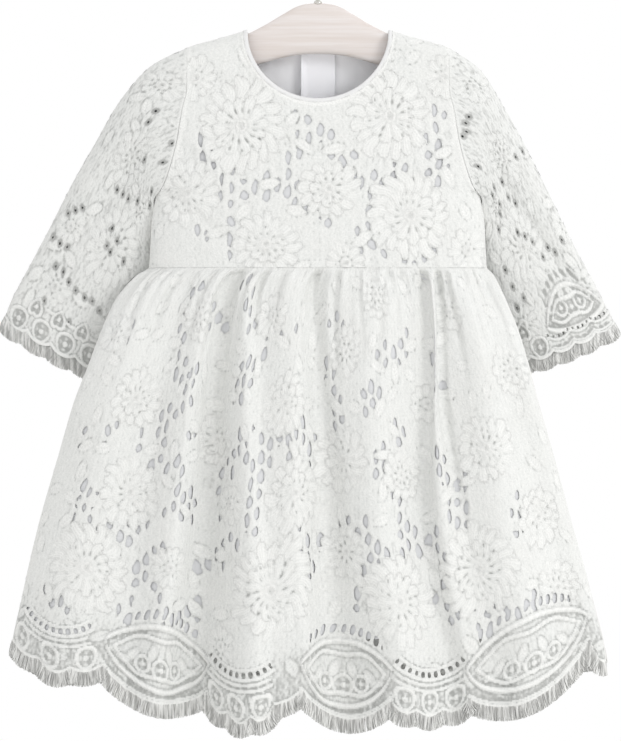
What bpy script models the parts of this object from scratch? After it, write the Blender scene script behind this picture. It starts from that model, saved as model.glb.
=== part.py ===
"""A child's lace gown hanging on a wooden hanger.

Sizes are in millimetres and `solid` turns them into metres. X runs across the gown, -Y is its
front and Z points up. `down` is the distance below the origin, which is the top of the hook's
inside, where a rail carries the hanger.
"""

import math

import bmesh
import bpy
import numpy as np

MM = 0.001
SHARP_EDGE = math.radians(40)


def table(columns, *rows):
    """A short table of sizes as named columns."""
    return dict(zip(columns.split(), np.array(rows, float).T))


# Cloth and the spaces between sewn pieces.
SEAM = 0.4
LACE_THICK = 1.2
LINING_THICK = 1.0
PLACKET_THICK = 1.0
LAYER = LACE_THICK + SEAM

# Hook: a bent wire screwed into the top of the hanger.
WIRE = 3.4
HOOK_INSIDE = 16.0
HOOK_BEND = math.radians(50)
HOOK_TIP = math.radians(203)

# Hanger: half of its outline, from the middle to the tip, and its thickness.
HANGER = table(
    "across top bottom thick",
    (0, 58.0, 94.7, 10.0),
    (8, 58.6, 95.0, 10.0),
    (15, 60.5, 95.6, 10.0),
    (25, 66.0, 97.4, 10.0),
    (38, 73.7, 101.0, 10.0),
    (54, 81.5, 105.6, 10.0),
    (72, 87.0, 109.2, 9.6),
    (94, 93.5, 113.0, 9.0),
    (103, 100.6, 115.4, 8.0),
    (110, 106.4, 116.0, 6.4),
    (114, 111.0, 114.6, 3.6),
)
HANGER_SIDES = 8
HANGER_SIDE_POWER = 0.6
HANGER_TOP_POWER = 0.8
CLOTH_ABOVE_HANGER = 3.5

# Bodice: its edge (armhole, then side seam), how much further out its roundness would run before
# it closed, and its depth from the middle plane, front and back alike.
NECK_HALF = 54.0
NECK_FRONT = 52.0
NECK_BACK = 14.0
SHOULDER_END = 94.0
ARMHOLE_TOP = 90.0
UNDERARM = 197.0
WAIST = 248.8
ROUND_OVER = 9.0
ROUNDNESS = 2.3
SLOPE_STEP = 0.05
BODICE = table(
    "down edge spare depth",
    (90.0, 94.0, 66.0, 12.6),
    (120.6, 94.2, 56.0, 15.0),
    (135.0, 97.5, 46.5, 16.8),
    (156.6, 101.0, 34.0, 19.0),
    (178.0, 106.6, 20.4, 20.8),
    (192.6, 112.6, 6.6, 22.0),
    (197.0, 118.0, 0.0, 22.2),
    (248.8, 121.5, 0.0, 25.0),
)
ARMHOLE_ROWS = (0.0, 0.02, 0.07, 0.17, 0.33, 0.53, 0.75, 0.92, 1.0)
SIDE_ROWS = (0.5, 1.0)
NECK_ANGLES = (0, 22, 44, 62, 76, 84, 88, 90)
SHOULDER_COLUMNS = 2
COLUMN_FAN = 0.6

# Neck binding and back closure.
BINDING_GAP = 0.7
BINDING_WIDE = 3.2
BINDING_THICK = 2.4
PLACKET_HALF = 12.5
PLACKET_TOP = 93.0
PLACKET_END = 238.0
PLACKET_IN = LAYER + LINING_THICK + 0.6
BUTTON_WIDE = 11.0
BUTTON_THICK = 2.4
BUTTON_SIDES = 14
BUTTON_DOWN = (104.0, 144.0, 184.0)
BUTTON_ACROSS = 7.5
BUTTON_LIFT = 0.8
# The button's profile, as shares of its half width and of its thickness.
BUTTON_RINGS = table("wide out", (0.86, 0.0), (1.0, 0.35), (1.0, 0.7), (0.82, 1.0))

# Skirt: side edges, plain depth, and how far the side seams swing forward past the sleeves.
SKIRT = table(
    "down left right depth forward",
    (249.2, -121.5, 121.5, 25.0, 0.0),
    (256.0, -131.8, 126.5, 27.0, 1.0),
    (271.8, -145.0, 134.5, 28.0, 6.0),
    (293.4, -155.0, 143.5, 29.0, 11.0),
    (317.9, -164.5, 151.0, 30.0, 13.0),
    (343.8, -174.8, 158.0, 30.5, 11.0),
    (387.8, -188.0, 170.8, 31.5, 3.0),
    (432.0, -200.8, 182.6, 32.5, 0.0),
    (482.0, -212.4, 196.6, 33.5, 0.0),
    (530.0, -222.0, 207.2, 34.0, 0.0),
    (590.0, -226.0, 209.0, 34.0, 0.0),
)
KNEE = 380.0
HEM = 545.0
# Fold lines of the front, from side seam to side seam: where each lies across at the waist, knee
# and hem, how far it stands out there, and how many columns of the wall lead on to the next.
FRONT_FOLDS = table(
    "waist knee hem out_waist out_knee out_hem columns",
    (-121.5, -185.0, -223.5, 0.0, 0.0, 0.0, 2),
    (-103.0, -157.0, -186.0, 2.0, 5.0, 9.0, 3),
    (-81.4, -121.0, -139.0, -3.0, -7.0, -3.0, 2),
    (-67.0, -96.0, -117.0, 2.0, 5.0, 6.0, 2),
    (-52.6, -75.6, -92.0, -3.0, -10.0, -17.0, 3),
    (-43.2, -49.0, -45.0, 2.0, 6.0, 13.0, 1),
    (-33.1, -38.0, -31.0, -4.0, -2.0, 8.0, 2),
    (-13.0, -18.7, -11.5, 2.5, 5.0, 7.0, 2),
    (8.6, 3.6, 15.8, -2.5, -4.0, -9.0, 2),
    (43.2, 41.0, 62.6, 2.0, 5.0, 7.0, 3),
    (74.2, 73.4, 95.0, -3.5, -9.0, -11.0, 1),
    (79.2, 85.7, 109.4, 1.5, 1.0, -4.0, 1),
    (84.0, 95.0, 123.8, -3.5, -5.0, -2.0, 2),
    (98.6, 127.4, 149.0, 2.0, 5.0, 8.0, 2),
    (110.9, 152.6, 192.2, -2.0, -2.0, -6.0, 2),
    (121.5, 168.5, 207.6, 0.0, 0.0, 0.0, 0),
)
BACK_FOLDS = table(
    "waist knee hem out_waist out_knee out_hem columns",
    (-121.5, -185.0, -223.5, 0.0, 0.0, 0.0, 2),
    (-108.0, -152.0, -180.0, -2.0, -3.0, -5.0, 2),
    (-90.0, -126.0, -150.0, 2.0, 5.0, 9.0, 2),
    (-70.0, -98.0, -112.0, -3.0, -7.0, -12.0, 2),
    (-50.0, -64.0, -70.0, 2.0, 5.0, 9.0, 2),
    (-28.0, -36.0, -38.0, -3.0, -6.0, -5.0, 2),
    (-6.0, -8.0, -6.0, 2.0, 4.0, 7.0, 2),
    (20.0, 24.0, 32.0, -3.0, -8.0, -12.0, 2),
    (46.0, 60.0, 74.0, 2.0, 6.0, 10.0, 2),
    (72.0, 96.0, 116.0, -3.0, -6.0, -7.0, 2),
    (94.0, 128.0, 152.0, 2.0, 4.0, 8.0, 2),
    (110.0, 150.0, 182.0, -2.0, -3.0, -4.0, 2),
    (121.5, 168.5, 207.6, 0.0, 0.0, 0.0, 0),
)
SKIRT_ROWS = (0.0, 0.03, 0.08, 0.16, 0.25, 0.35, 0.46, 0.57, 0.68, 0.79, 0.90, 1.0)
LINING_HEM = 515.0
SKIRT_LINING_ROWS = (0.0, 0.04, 0.13, 0.32, 0.54, 0.77, 1.0)
SKIRT_LINING_IN = 4.5
SKIRT_LINING_EASE = 30.0
SCALLOP_STEPS = 3
ABOVE_HEM = 5.0
LOBE_SHARE = 0.28
# Hem border: where each scallop starts, the height of that notch, how far the scallop drops
# below its notches, how many lobes it has and how pointed it hangs.
FRONT_HEM = table(
    "across notch drop lobes point",
    (-226.0, 515.0, 15.0, 3, 1.5),
    (-154.0, 535.0, 17.0, 1, 0.7),
    (-80.6, 554.0, 18.0, 3, 0.8),
    (-31.0, 563.0, 2.0, 1, 1.0),
    (-11.2, 552.5, 18.0, 1, 0.75),
    (51.6, 559.0, 13.0, 3, 0.6),
    (108.0, 558.0, 22.0, 1, 0.75),
    (197.3, 517.0, 17.0, 1, 0.75),
    (214.0, 516.0, 0.0, 1, 0.75),
)
BACK_HEM = table(
    "across notch drop lobes point",
    (-226.0, 515.0, 15.0, 1, 0.75),
    (-150.0, 534.0, 13.0, 3, 0.75),
    (-80.0, 545.0, 17.0, 1, 0.75),
    (-8.0, 549.0, 13.0, 3, 0.75),
    (60.0, 548.0, 17.0, 1, 0.75),
    (134.0, 536.0, 13.0, 3, 0.75),
    (214.0, 516.0, 0.0, 1, 0.75),
)

# Sleeves: the top fold and the underarm of each section, how far it hangs back and its half depth.
SLEEVE_LEFT = table(
    "top_across top_down under_across under_down back half",
    (-94.0, 90.0, -118.0, 197.0, 0.0, 0.0),
    (-121.5, 104.0, -118.8, 204.0, 2.0, 12.5),
    (-143.5, 129.0, -119.6, 214.0, 6.0, 12.5),
    (-160.0, 157.0, -120.6, 226.0, 10.5, 13.0),
    (-178.0, 188.5, -122.0, 242.0, 15.0, 13.5),
    (-195.0, 221.5, -125.0, 262.0, 20.0, 14.0),
    (-209.5, 248.5, -129.0, 284.0, 24.0, 14.5),
    (-221.0, 270.0, -134.0, 306.0, 26.0, 15.0),
    (-226.8, 284.5, -139.0, 326.0, 27.0, 16.0),
)
SLEEVE_RIGHT = table(
    "top_across top_down under_across under_down back half",
    (94.0, 90.0, 118.0, 197.0, 0.0, 0.0),
    (117.5, 106.5, 118.8, 204.0, 2.0, 12.5),
    (135.5, 135.0, 119.6, 214.0, 6.0, 12.5),
    (150.0, 161.0, 120.6, 226.0, 10.5, 13.0),
    (166.0, 193.0, 122.0, 242.0, 15.0, 13.5),
    (182.5, 227.0, 124.5, 260.0, 20.0, 14.0),
    (196.5, 253.0, 128.0, 281.0, 24.0, 14.5),
    (208.5, 276.0, 133.0, 300.0, 26.0, 15.0),
    (214.8, 288.5, 138.0, 317.0, 27.0, 16.0),
)
SLEEVE_ROUNDNESS = 2.5
SLEEVE_ROWS = 8
CUFF_STEPS = 2
CUFF_LOBES = 5
CUFF_DROP = 0.22
CUFF_BOW = 0.2
CUFF_LOBE_POWER = 0.7
ABOVE_CUFF = 0.3

# Fringe: a narrow strip below the edge of the cloth that carries the locks.
FRINGE_STRIP = 1.4
HEM_LOCK = 7.6
CUFF_LOCK = 6.0

# Lace: the ground's largest gaps, and the flowers they keep clear of.
GAP_WIDE = 4.6
GAP_TALL = 12.0
GAP_ROOM = 1.9
GAP_SHARE = 0.8
FLOWER_ACROSS = 78.0
FLOWER_DOWN = 62.0
FLOWER_RADIUS = 22.0

PAINT = {
    "lace": ((0.88, 0.88, 0.87), 0.85, 0.0),
    "lining": ((0.68, 0.69, 0.72), 0.75, 0.0),
    "binding": ((0.80, 0.81, 0.83), 0.7, 0.0),
    "fringe": ((0.86, 0.86, 0.84), 0.85, 0.0),
    "wood": ((0.82, 0.75, 0.70), 0.55, 0.0),
    "steel": ((0.62, 0.62, 0.60), 0.3, 1.0),
    "button": ((0.90, 0.90, 0.88), 0.25, 0.0),
}


# ---- shared tools ----------------------------------------------------------------------------


def clear_scene():
    for thing in list(bpy.data.objects):
        bpy.data.objects.remove(thing, do_unlink=True)


def paint(kind):
    """The material of one kind of piece."""
    known = bpy.data.materials.get(kind)
    if known:
        return known
    colour, roughness, metallic = PAINT[kind]
    made = bpy.data.materials.new(kind)
    made.use_nodes = True
    shader = made.node_tree.nodes["Principled BSDF"]
    shader.inputs["Base Color"].default_value = (*colour, 1.0)
    shader.inputs["Roughness"].default_value = roughness
    shader.inputs["Metallic"].default_value = metallic
    return made


def place(name, data, kind, holder):
    """Links one named piece to the scene and hangs it from the holder."""
    piece = bpy.data.objects.new(name, data)
    bpy.context.collection.objects.link(piece)
    piece.parent = holder
    piece.data.materials.append(paint(kind))
    return piece


def solid(name, points, faces, kind, holder):
    """One closed mesh from points in millimetres, with its faces turned outwards."""
    data = bpy.data.meshes.new(name)
    data.from_pydata([tuple(float(c) * MM for c in p) for p in points], [], faces)
    work = bmesh.new()
    work.from_mesh(data)
    bmesh.ops.recalc_face_normals(work, faces=work.faces)
    work.to_mesh(data)
    work.free()
    data.shade_smooth()
    data.set_sharp_from_angle(angle=SHARP_EDGE)
    return place(name, data, kind, holder)


def along(data, key, column, value):
    """A column of a table at a value of its key column, on a smooth curve that never overshoots."""
    keys, heights = data[key], data[column]
    step = np.diff(heights) / np.diff(keys)
    turn = step[:-1] * step[1:]
    total = np.where(turn > 0, step[:-1] + step[1:], 1.0)
    slope = np.concatenate([step[:1], np.where(turn > 0, 2 * turn / total, 0.0), step[-1:]])
    value = np.clip(value, keys[0], keys[-1])
    i = np.clip(np.searchsorted(keys, value, side="right") - 1, 0, len(keys) - 2)
    width = keys[i + 1] - keys[i]
    t = (value - keys[i]) / width
    ends = heights[i] * (1 + 2 * t) * (1 - t) ** 2 + heights[i + 1] * t * t * (3 - 2 * t)
    return ends + width * (slope[i] * t * (1 - t) ** 2 - slope[i + 1] * t * t * (1 - t))


def unit(vectors):
    return vectors / np.linalg.norm(vectors, axis=-1, keepdims=True)


def facing(points, side):
    """Unit normals of a grid whose rows run down and whose columns run towards +X.

    side is -1 for a wall that faces the front and 1 for one that faces the back.
    """
    across = np.gradient(points, axis=1)
    down = np.gradient(points, axis=0)
    return unit(side * np.cross(across, down))


def flatten(normals, where, axis):
    """Takes one axis out of the normals of an edge, so that the wall ends square there."""
    normals[where + (..., axis)] = 0.0
    normals[where] = unit(normals[where])


class Wall:
    """A cloth wall: a grid of outer points, its normals and, where it has one, its shaped hem."""

    def __init__(self, points, normals, hem=None, hem_normals=None):
        self.points, self.normals = points, normals
        self.hem = points[-1] if hem is None else hem
        self.hem_normals = normals[-1] if hem_normals is None else hem_normals

    def moved(self, depth):
        """The wall's points and the hem's points, moved inwards."""
        return self.points - depth * self.normals, self.hem - depth * self.hem_normals

    def build(self, name, kind, holder, inward, thick, gaps=()):
        rows, columns = self.points.shape[:2]
        steps = (len(self.hem) - 1) // (columns - 1)
        points, faces, rims = [], [], []
        gap_rims = {cell: [] for cell in gaps}
        for depth in (inward, inward + thick):
            grid, hem = self.moved(depth)
            first = len(points)
            points.extend(grid[:-1].reshape(-1, 3))
            hem_first = len(points)
            points.extend(hem)

            def at(i, j):
                return first + i * columns + j if i < rows - 1 else hem_first + j * steps

            for i in range(rows - 1):
                for j in range(columns - 1):
                    corners = (at(i, j), at(i, j + 1), at(i + 1, j + 1), at(i + 1, j))
                    if (i, j) in gap_rims:
                        rim = gap_points(points, corners)
                        gap_rims[i, j].append(rim)
                        faces.extend(gap_faces(corners, rim))
                    elif i < rows - 2 or steps == 1:
                        faces.append(corners)
                    else:
                        edge = [corners[3] + k for k in range(steps + 1)]
                        faces.extend(hem_faces(corners[0], corners[1], edge))
            top = [at(0, j) for j in range(columns)]
            right = [at(i, columns - 1) for i in range(1, rows - 1)]
            bottom = [hem_first + k for k in reversed(range(len(hem)))]
            left = [at(i, 0) for i in reversed(range(1, rows - 1))]
            rims.append(top + right + bottom + left)
        faces.extend(band(*rims))
        for pair in gap_rims.values():
            faces.extend(band(*pair))
        return solid(name, points, faces, kind, holder)


def band(one, other):
    """Quads that join two closed rims."""
    pairs = list(zip(one, other))
    return [(a, b, d, c) for (a, c), (b, d) in zip(pairs, pairs[1:] + pairs[:1])]


def hem_faces(left, right, edge):
    """Triangles between one cell's top corners and the shaped edge below it."""
    middle = len(edge) // 2
    faces = [(left, edge[k], edge[k + 1]) for k in range(middle)]
    faces.append((left, edge[middle], right))
    faces.extend((right, edge[k], edge[k + 1]) for k in range(middle, len(edge) - 1))
    return faces


def gap_points(points, corners):
    """Adds the pointed gap in the middle of a cell and returns its four points' places."""
    a, b, c, d = (np.array(points[k]) for k in corners)
    middle = (a + b + c + d) / 4
    half_across = (b + c - a - d) / 4
    half_down = (c + d - a - b) / 4
    across = min(GAP_WIDE / 2 / np.linalg.norm(half_across), GAP_SHARE) * half_across
    down = min(GAP_TALL / 2 / np.linalg.norm(half_down), GAP_SHARE) * half_down
    first = len(points)
    points.extend([middle - down, middle + across, middle + down, middle - across])
    return [first, first + 1, first + 2, first + 3]


def gap_faces(corners, rim):
    """Triangles between a cell's corners and the gap in it."""
    faces = []
    for k in range(4):
        a, b = corners[k], corners[(k + 1) % 4]
        faces.append((a, b, rim[k]))
        faces.append((b, rim[(k + 1) % 4], rim[k]))
    return faces


def ground_gaps(points, skip_rows=0, skip_columns=0):
    """Cells that hold a gap of the net ground: every other one that no flower covers."""
    rows, columns = points.shape[:2]
    cells = []
    middle = (points[:-1, :-1] + points[1:, :-1] + points[:-1, 1:] + points[1:, 1:]) / 4
    step = np.linalg.norm(np.diff(middle, axis=1), axis=-1)
    across = np.concatenate([np.zeros((rows - 1, 1)), np.cumsum(step, axis=1)], axis=1)
    across -= across[:, -1:] / 2
    fall = np.linalg.norm(np.diff(middle, axis=0), axis=-1)
    down = np.concatenate([np.zeros((1, columns - 1)), np.cumsum(fall, axis=0)], axis=0)
    for i in range(skip_rows, rows - 2):
        for j in range(skip_columns, columns - 1 - skip_columns):
            wide = np.linalg.norm(points[i, j + 1] - points[i, j])
            tall = np.linalg.norm(points[i + 1, j] - points[i, j])
            roomy = wide > GAP_ROOM * GAP_WIDE and tall > GAP_TALL
            if (i + j) % 2 == 0 and roomy and not in_flower(across[i, j], down[i, j]):
                cells.append((i, j))
    return cells


def in_flower(across, down):
    """Whether a place of the flat cloth lies in one of the staggered rows of flowers."""
    row = round(down / FLOWER_DOWN)
    shift = FLOWER_ACROSS / 2 * (row % 2)
    off = across - shift - FLOWER_ACROSS * round((across - shift) / FLOWER_ACROSS)
    return math.hypot(off, down - row * FLOWER_DOWN) < FLOWER_RADIUS


def fringe(name, outer, inner, hang, length, closed, holder):
    """A narrow strip just below a cloth edge with one pointed lock below each of its steps."""
    count = len(outer)
    points = []
    for drop in (SEAM, SEAM + FRINGE_STRIP):
        points.extend(outer + drop * hang)
        points.extend(inner + drop * hang)
    top_out, top_in, low_out, low_in = (range(k * count, (k + 1) * count) for k in range(4))
    faces = []
    last = count if closed else count - 1
    for a in range(last):
        b = (a + 1) % count
        faces.append((top_out[a], top_out[b], top_in[b], top_in[a]))
        faces.append((top_out[a], low_out[a], low_out[b], top_out[b]))
        faces.append((top_in[a], top_in[b], low_in[b], low_in[a]))
        root = (points[low_out[a]] + points[low_out[b]] + points[low_in[a]] + points[low_in[b]]) / 4
        tip = len(points)
        points.append(root + length * unit(hang[a] + hang[b]))
        ring = (low_out[a], low_in[a], low_in[b], low_out[b])
        faces.extend((ring[k], ring[(k + 1) % 4], tip) for k in range(4))
    if not closed:
        for a in (0, count - 1):
            faces.append((top_out[a], top_in[a], low_in[a], low_out[a]))
    return solid(name, points, faces, "fringe", holder)


# ---- hanger ----------------------------------------------------------------------------------


def build_hanger(holder):
    """The curved wooden bar: rounded sections from one tip to the other."""
    half = list(HANGER["across"])
    stations = [-x for x in reversed(half[1:])] + half
    points, faces = [], []
    for x in stations:
        top = along(HANGER, "across", "top", abs(x))
        bottom = along(HANGER, "across", "bottom", abs(x))
        thick = along(HANGER, "across", "thick", abs(x))
        middle, tall = (top + bottom) / 2, (bottom - top) / 2
        for k in range(HANGER_SIDES):
            turn = 2 * math.pi * k / HANGER_SIDES
            side, up = math.sin(turn), math.cos(turn)
            y = math.copysign(abs(side) ** HANGER_SIDE_POWER, side) * thick / 2
            z = math.copysign(abs(up) ** HANGER_TOP_POWER, up) * tall
            points.append((x, y, z - middle))
    for s in range(len(stations) - 1):
        for k in range(HANGER_SIDES):
            n = (k + 1) % HANGER_SIDES
            a, b = s * HANGER_SIDES, (s + 1) * HANGER_SIDES
            faces.append((a + k, a + n, b + n, b + k))
    faces.append(tuple(range(HANGER_SIDES)))
    faces.append(tuple(range(len(points) - HANGER_SIDES, len(points))))
    return solid("hanger_body", points, faces, "wood", holder)


def build_hook(holder):
    """The wire hook: a short shank, a bend to one side and the open loop."""
    loop = HOOK_INSIDE + WIRE / 2
    bend = loop * math.cos(HOOK_BEND) / (1 - math.cos(HOOK_BEND))
    bend_start = HOOK_INSIDE + (loop + bend) * math.sin(HOOK_BEND)
    route = [(0.0, -HANGER["top"][0] + SEAM)]
    for turn in np.linspace(0, HOOK_BEND, 5)[:-1]:
        route.append((bend * (1 - math.cos(turn)), bend * math.sin(turn) - bend_start))
    for turn in np.linspace(-HOOK_BEND, HOOK_TIP, 18):
        route.append((loop * math.cos(turn), loop * math.sin(turn) - HOOK_INSIDE))
    curve = bpy.data.curves.new("hanger_hook", "CURVE")
    curve.dimensions = "3D"
    curve.bevel_depth = WIRE / 2 * MM
    curve.bevel_resolution = 2
    curve.use_fill_caps = True
    spline = curve.splines.new("POLY")
    spline.points.add(len(route) - 1)
    for point, (x, z) in zip(spline.points, route):
        point.co = (x * MM, 0.0, z * MM, 1.0)
    spline.points[-1].radius = 0.6
    return place("hanger_hook", curve, "steel", holder)


# ---- bodice ----------------------------------------------------------------------------------


def bodice_columns(first):
    """Where the columns lie across at the top and at the waist, as shares of the half width.

    first is -1 for a whole panel and 0 for its right half alone.
    """
    neck = [NECK_HALF / SHOULDER_END * math.sin(math.radians(a)) for a in NECK_ANGLES]
    shoulder = np.linspace(neck[-1], 1.0, SHOULDER_COLUMNS + 1)[1:]
    top = np.array(neck + list(shoulder))
    waist = np.linspace(0.0, 1.0, len(top))
    if first == 0:
        return top, waist
    return np.concatenate([-top[:0:-1], top]), np.concatenate([-waist[:0:-1], waist])


def bodice_depth(across, down):
    """How far the bodice stands out from its middle plane."""
    full = along(BODICE, "down", "edge", down) + along(BODICE, "down", "spare", down)
    share = np.clip(np.abs(across) / full, 0, 1)
    depth = along(BODICE, "down", "depth", down) * (1 - share**ROUNDNESS) ** (1 / ROUNDNESS)
    top = along(HANGER, "across", "top", np.abs(across)) - CLOTH_ABOVE_HANGER
    over = np.clip((down - top) / ROUND_OVER, 0, 1)
    return depth * np.sqrt(1 - (1 - over) ** 2)


def bodice_points(across, down, side):
    """Points of the bodice's outside and its normals, from the slope of its depth."""
    depth = bodice_depth(across, down)
    slope_across = bodice_depth(across + SLOPE_STEP, down) - bodice_depth(across - SLOPE_STEP, down)
    slope_down = bodice_depth(across, down + SLOPE_STEP) - depth
    points = np.stack([across, side * (depth + SEAM / 2), -down], axis=-1)
    faces = np.full(np.shape(depth), side * SLOPE_STEP)
    return points, unit(np.stack([-slope_across / 2, faces, slope_down], axis=-1))


def bodice_rows():
    """Heights of the rows along the bodice's edge: the armhole's, then the side seam's."""
    armhole = [ARMHOLE_TOP + f * (UNDERARM - ARMHOLE_TOP) for f in ARMHOLE_ROWS]
    side = [UNDERARM + f * (WAIST - SEAM / 2 - UNDERARM) for f in SIDE_ROWS]
    return np.array(armhole + side)


def bodice_wall(side, neck_depth, first=-1, mirror=1):
    """Front (side -1) or back (side 1) of the bodice; mirror -1 gives the left back."""
    edge = bodice_rows()
    fall = (edge - edge[0]) / (edge[-1] - edge[0])
    top_share, waist_share = bodice_columns(first)
    share = top_share + (waist_share - top_share) * fall[:, None] ** COLUMN_FAN
    across = share * along(BODICE, "down", "edge", edge)[:, None]
    start = np.abs(top_share) * SHOULDER_END
    neck = np.sqrt(np.clip(1 - (start / NECK_HALF) ** 2, 0, 1))
    shoulder = along(HANGER, "across", "top", np.maximum(start, NECK_HALF)) - CLOTH_ABOVE_HANGER
    top = shoulder + neck_depth * neck
    down = top + fall[:, None] * (edge[-1] - top)
    points, normals = bodice_points(across, down, side)
    on_shoulder = start >= NECK_HALF - SLOPE_STEP
    flatten(normals, (0, on_shoulder), 1)
    flatten(normals, (slice(len(ARMHOLE_ROWS) - 1, None), -1), 1)
    if first == -1:
        flatten(normals, (slice(len(ARMHOLE_ROWS) - 1, None), 0), 1)
    else:
        points[:, 0, 0] += SEAM / 2
        flatten(normals, (slice(None), 0), 0)
    flatten(normals, (-1,), 2)
    if mirror == -1:
        flip = np.array([-1, 1, 1])
        points, normals = (points * flip)[:, ::-1], (normals * flip)[:, ::-1]
    return Wall(points, normals)


def build_bodice(holder):
    front = bodice_wall(-1, NECK_FRONT)
    backs = {
        "left": bodice_wall(1, NECK_BACK, 0, -1),
        "right": bodice_wall(1, NECK_BACK, 0),
    }
    gaps = ground_gaps(front.points, 3, 1)
    front.build("bodice_front", "lace", holder, 0.0, LACE_THICK, gaps)
    front.build("bodice_lining_front", "lining", holder, LAYER, LINING_THICK)
    for side, back in backs.items():
        gaps = ground_gaps(back.points, 3, 1)
        back.build("bodice_back_" + side, "lace", holder, 0.0, LACE_THICK, gaps)
        back.build("bodice_lining_back_" + side, "lining", holder, LAYER, LINING_THICK)
    build_binding(front, backs, holder)
    build_closure(holder)


def build_binding(front, backs, holder):
    """The strip round the neck, from the centre back over both shoulders and round the front."""
    neck_columns = len(NECK_ANGLES)
    left, right = backs["left"], backs["right"]
    around = slice(SHOULDER_COLUMNS, -SHOULDER_COLUMNS)
    points = np.concatenate([
        left.points[0, : -neck_columns : -1],
        front.points[0, around],
        right.points[0, neck_columns - 2 :: -1],
    ])
    normals = np.concatenate([
        left.normals[0, : -neck_columns : -1],
        front.normals[0, around],
        right.normals[0, neck_columns - 2 :: -1],
    ])
    into_neck = unit(np.cross(np.gradient(points, axis=0), normals))
    into_neck *= np.sign(into_neck[len(points) // 2, 2])
    low = points + BINDING_GAP * into_neck
    high = low + BINDING_WIDE * into_neck
    thick = BINDING_THICK * normals
    ring = np.stack([low, high, high - thick, low - thick], axis=1).reshape(-1, 3)
    faces = [(0, 1, 2, 3), tuple(range(len(ring) - 4, len(ring)))]
    for a in range(0, len(ring) - 4, 4):
        faces.extend((a + k, a + (k + 1) % 4, a + 4 + (k + 1) % 4, a + 4 + k) for k in range(4))
    solid("neck_binding", ring, faces, "binding", holder)


def build_closure(holder):
    """The placket strip inside the centre back and the buttons outside it."""
    down = np.linspace(PLACKET_TOP, PLACKET_END, 7)
    across = np.linspace(-PLACKET_HALF, PLACKET_HALF, 3)
    grid_across, grid_down = np.meshgrid(across, down)
    strip = Wall(*bodice_points(grid_across, grid_down, 1))
    strip.build("back_placket", "binding", holder, PLACKET_IN, PLACKET_THICK)
    for number, height in enumerate(BUTTON_DOWN, 1):
        near = bodice_depth(BUTTON_ACROSS, height + np.array([-1.0, 1.0]))
        slope = (near[1] - near[0]) / 2
        lift = bodice_depth(BUTTON_ACROSS, height) + BUTTON_LIFT
        build_button(number, height, lift, slope, holder)


def build_button(number, height, lift, slope, holder):
    """A round button with a rounded rim, lying on the back."""
    points, faces = [], []
    for wide, out in zip(BUTTON_RINGS["wide"], BUTTON_RINGS["out"]):
        for k in range(BUTTON_SIDES):
            turn = 2 * math.pi * k / BUTTON_SIDES
            x = BUTTON_ACROSS + BUTTON_WIDE / 2 * wide * math.cos(turn)
            z = BUTTON_WIDE / 2 * wide * math.sin(turn)
            points.append((x, lift + BUTTON_THICK * out - slope * z, z - height))
    for s in range(len(BUTTON_RINGS["wide"]) - 1):
        for k in range(BUTTON_SIDES):
            n = (k + 1) % BUTTON_SIDES
            a, b = s * BUTTON_SIDES, (s + 1) * BUTTON_SIDES
            faces.append((a + k, a + n, b + n, b + k))
    faces.append(tuple(range(BUTTON_SIDES)))
    faces.append(tuple(range(len(points) - BUTTON_SIDES, len(points))))
    solid(f"back_button_{number}", points, faces, "button", holder)


# ---- skirt -----------------------------------------------------------------------------------


def fold_values(folds, kind, line, down):
    """A fold table's waist, knee and hem values at any line and height, on smooth curves."""
    index = np.clip(np.floor(line), 0, len(folds["hem"]) - 2).astype(int)
    t = line - index
    t = t * t * (3 - 2 * t) if kind == "out_" else t
    waist, knee, hem = (
        folds[kind + name][index] * (1 - t) + folds[kind + name][index + 1] * t
        for name in ("waist", "knee", "hem")
    )
    bend = (KNEE - WAIST) / (HEM - WAIST)
    v = np.clip((down - WAIST) / (HEM - WAIST), 0, 1)
    at_waist = (v - bend) * (v - 1) / bend
    at_knee = v * (v - 1) / (bend * (bend - 1))
    at_hem = v * (v - bend) / (1 - bend)
    return waist * at_waist + knee * at_knee + hem * at_hem


def skirt_points(folds, side, line, down):
    """Points of a skirt panel on a fold line (which may be a fraction) at a height."""
    shares = {"waist": WAIST, "knee": KNEE, "hem": HEM}
    relative = {}
    for name, height in shares.items():
        left = along(SKIRT, "down", "left", height)
        right = along(SKIRT, "down", "right", height)
        relative[name] = (folds[name] - folds[name][0]) / (folds[name][-1] - folds[name][0])
        relative["out_" + name] = folds["out_" + name]
        relative[name + "_span"] = np.array([left, right])
    share = np.clip(fold_values(relative, "", line, down), 0, 1)
    left, right = (along(SKIRT, "down", edge, down) for edge in ("left", "right"))
    across = left + share * (right - left)
    off = np.abs(2 * share - 1)
    plain = along(SKIRT, "down", "depth", down) * (1 - off**ROUNDNESS) ** (1 / ROUNDNESS)
    out = plain + fold_values(relative, "out_", line, down)
    swing = along(SKIRT, "down", "forward", down) * off**4
    return np.stack([across, side * (out + SEAM / 2) - swing, -down], axis=-1)


def fold_columns(folds):
    """Fold lines and the columns between them, as places along the folds' numbering."""
    lines = [0.0]
    for index, count in enumerate(folds["columns"][:-1].astype(int)):
        lines.extend(index + (k + 1) / count for k in range(count))
    return np.array(lines)


def hem_down(hem, folds, line):
    """Height of the notches' level and of the scalloped edge at fold lines."""
    across = np.interp(line, np.arange(len(folds["hem"])), folds["hem"])
    index = np.clip(np.searchsorted(hem["across"], across, side="right") - 1, 0, len(hem["across"]) - 2)
    start, end = hem["across"][index], hem["across"][index + 1]
    t = (across - start) / (end - start)
    level = np.interp(across, hem["across"], hem["notch"])
    arch = np.sin(np.pi * t) ** hem["point"][index]
    lobes = np.abs(np.sin(np.pi * hem["lobes"][index] * t))
    shape = np.where(hem["lobes"][index] > 1, arch + LOBE_SHARE * (lobes - arch), arch)
    return level, level + hem["drop"][index] * shape


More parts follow.
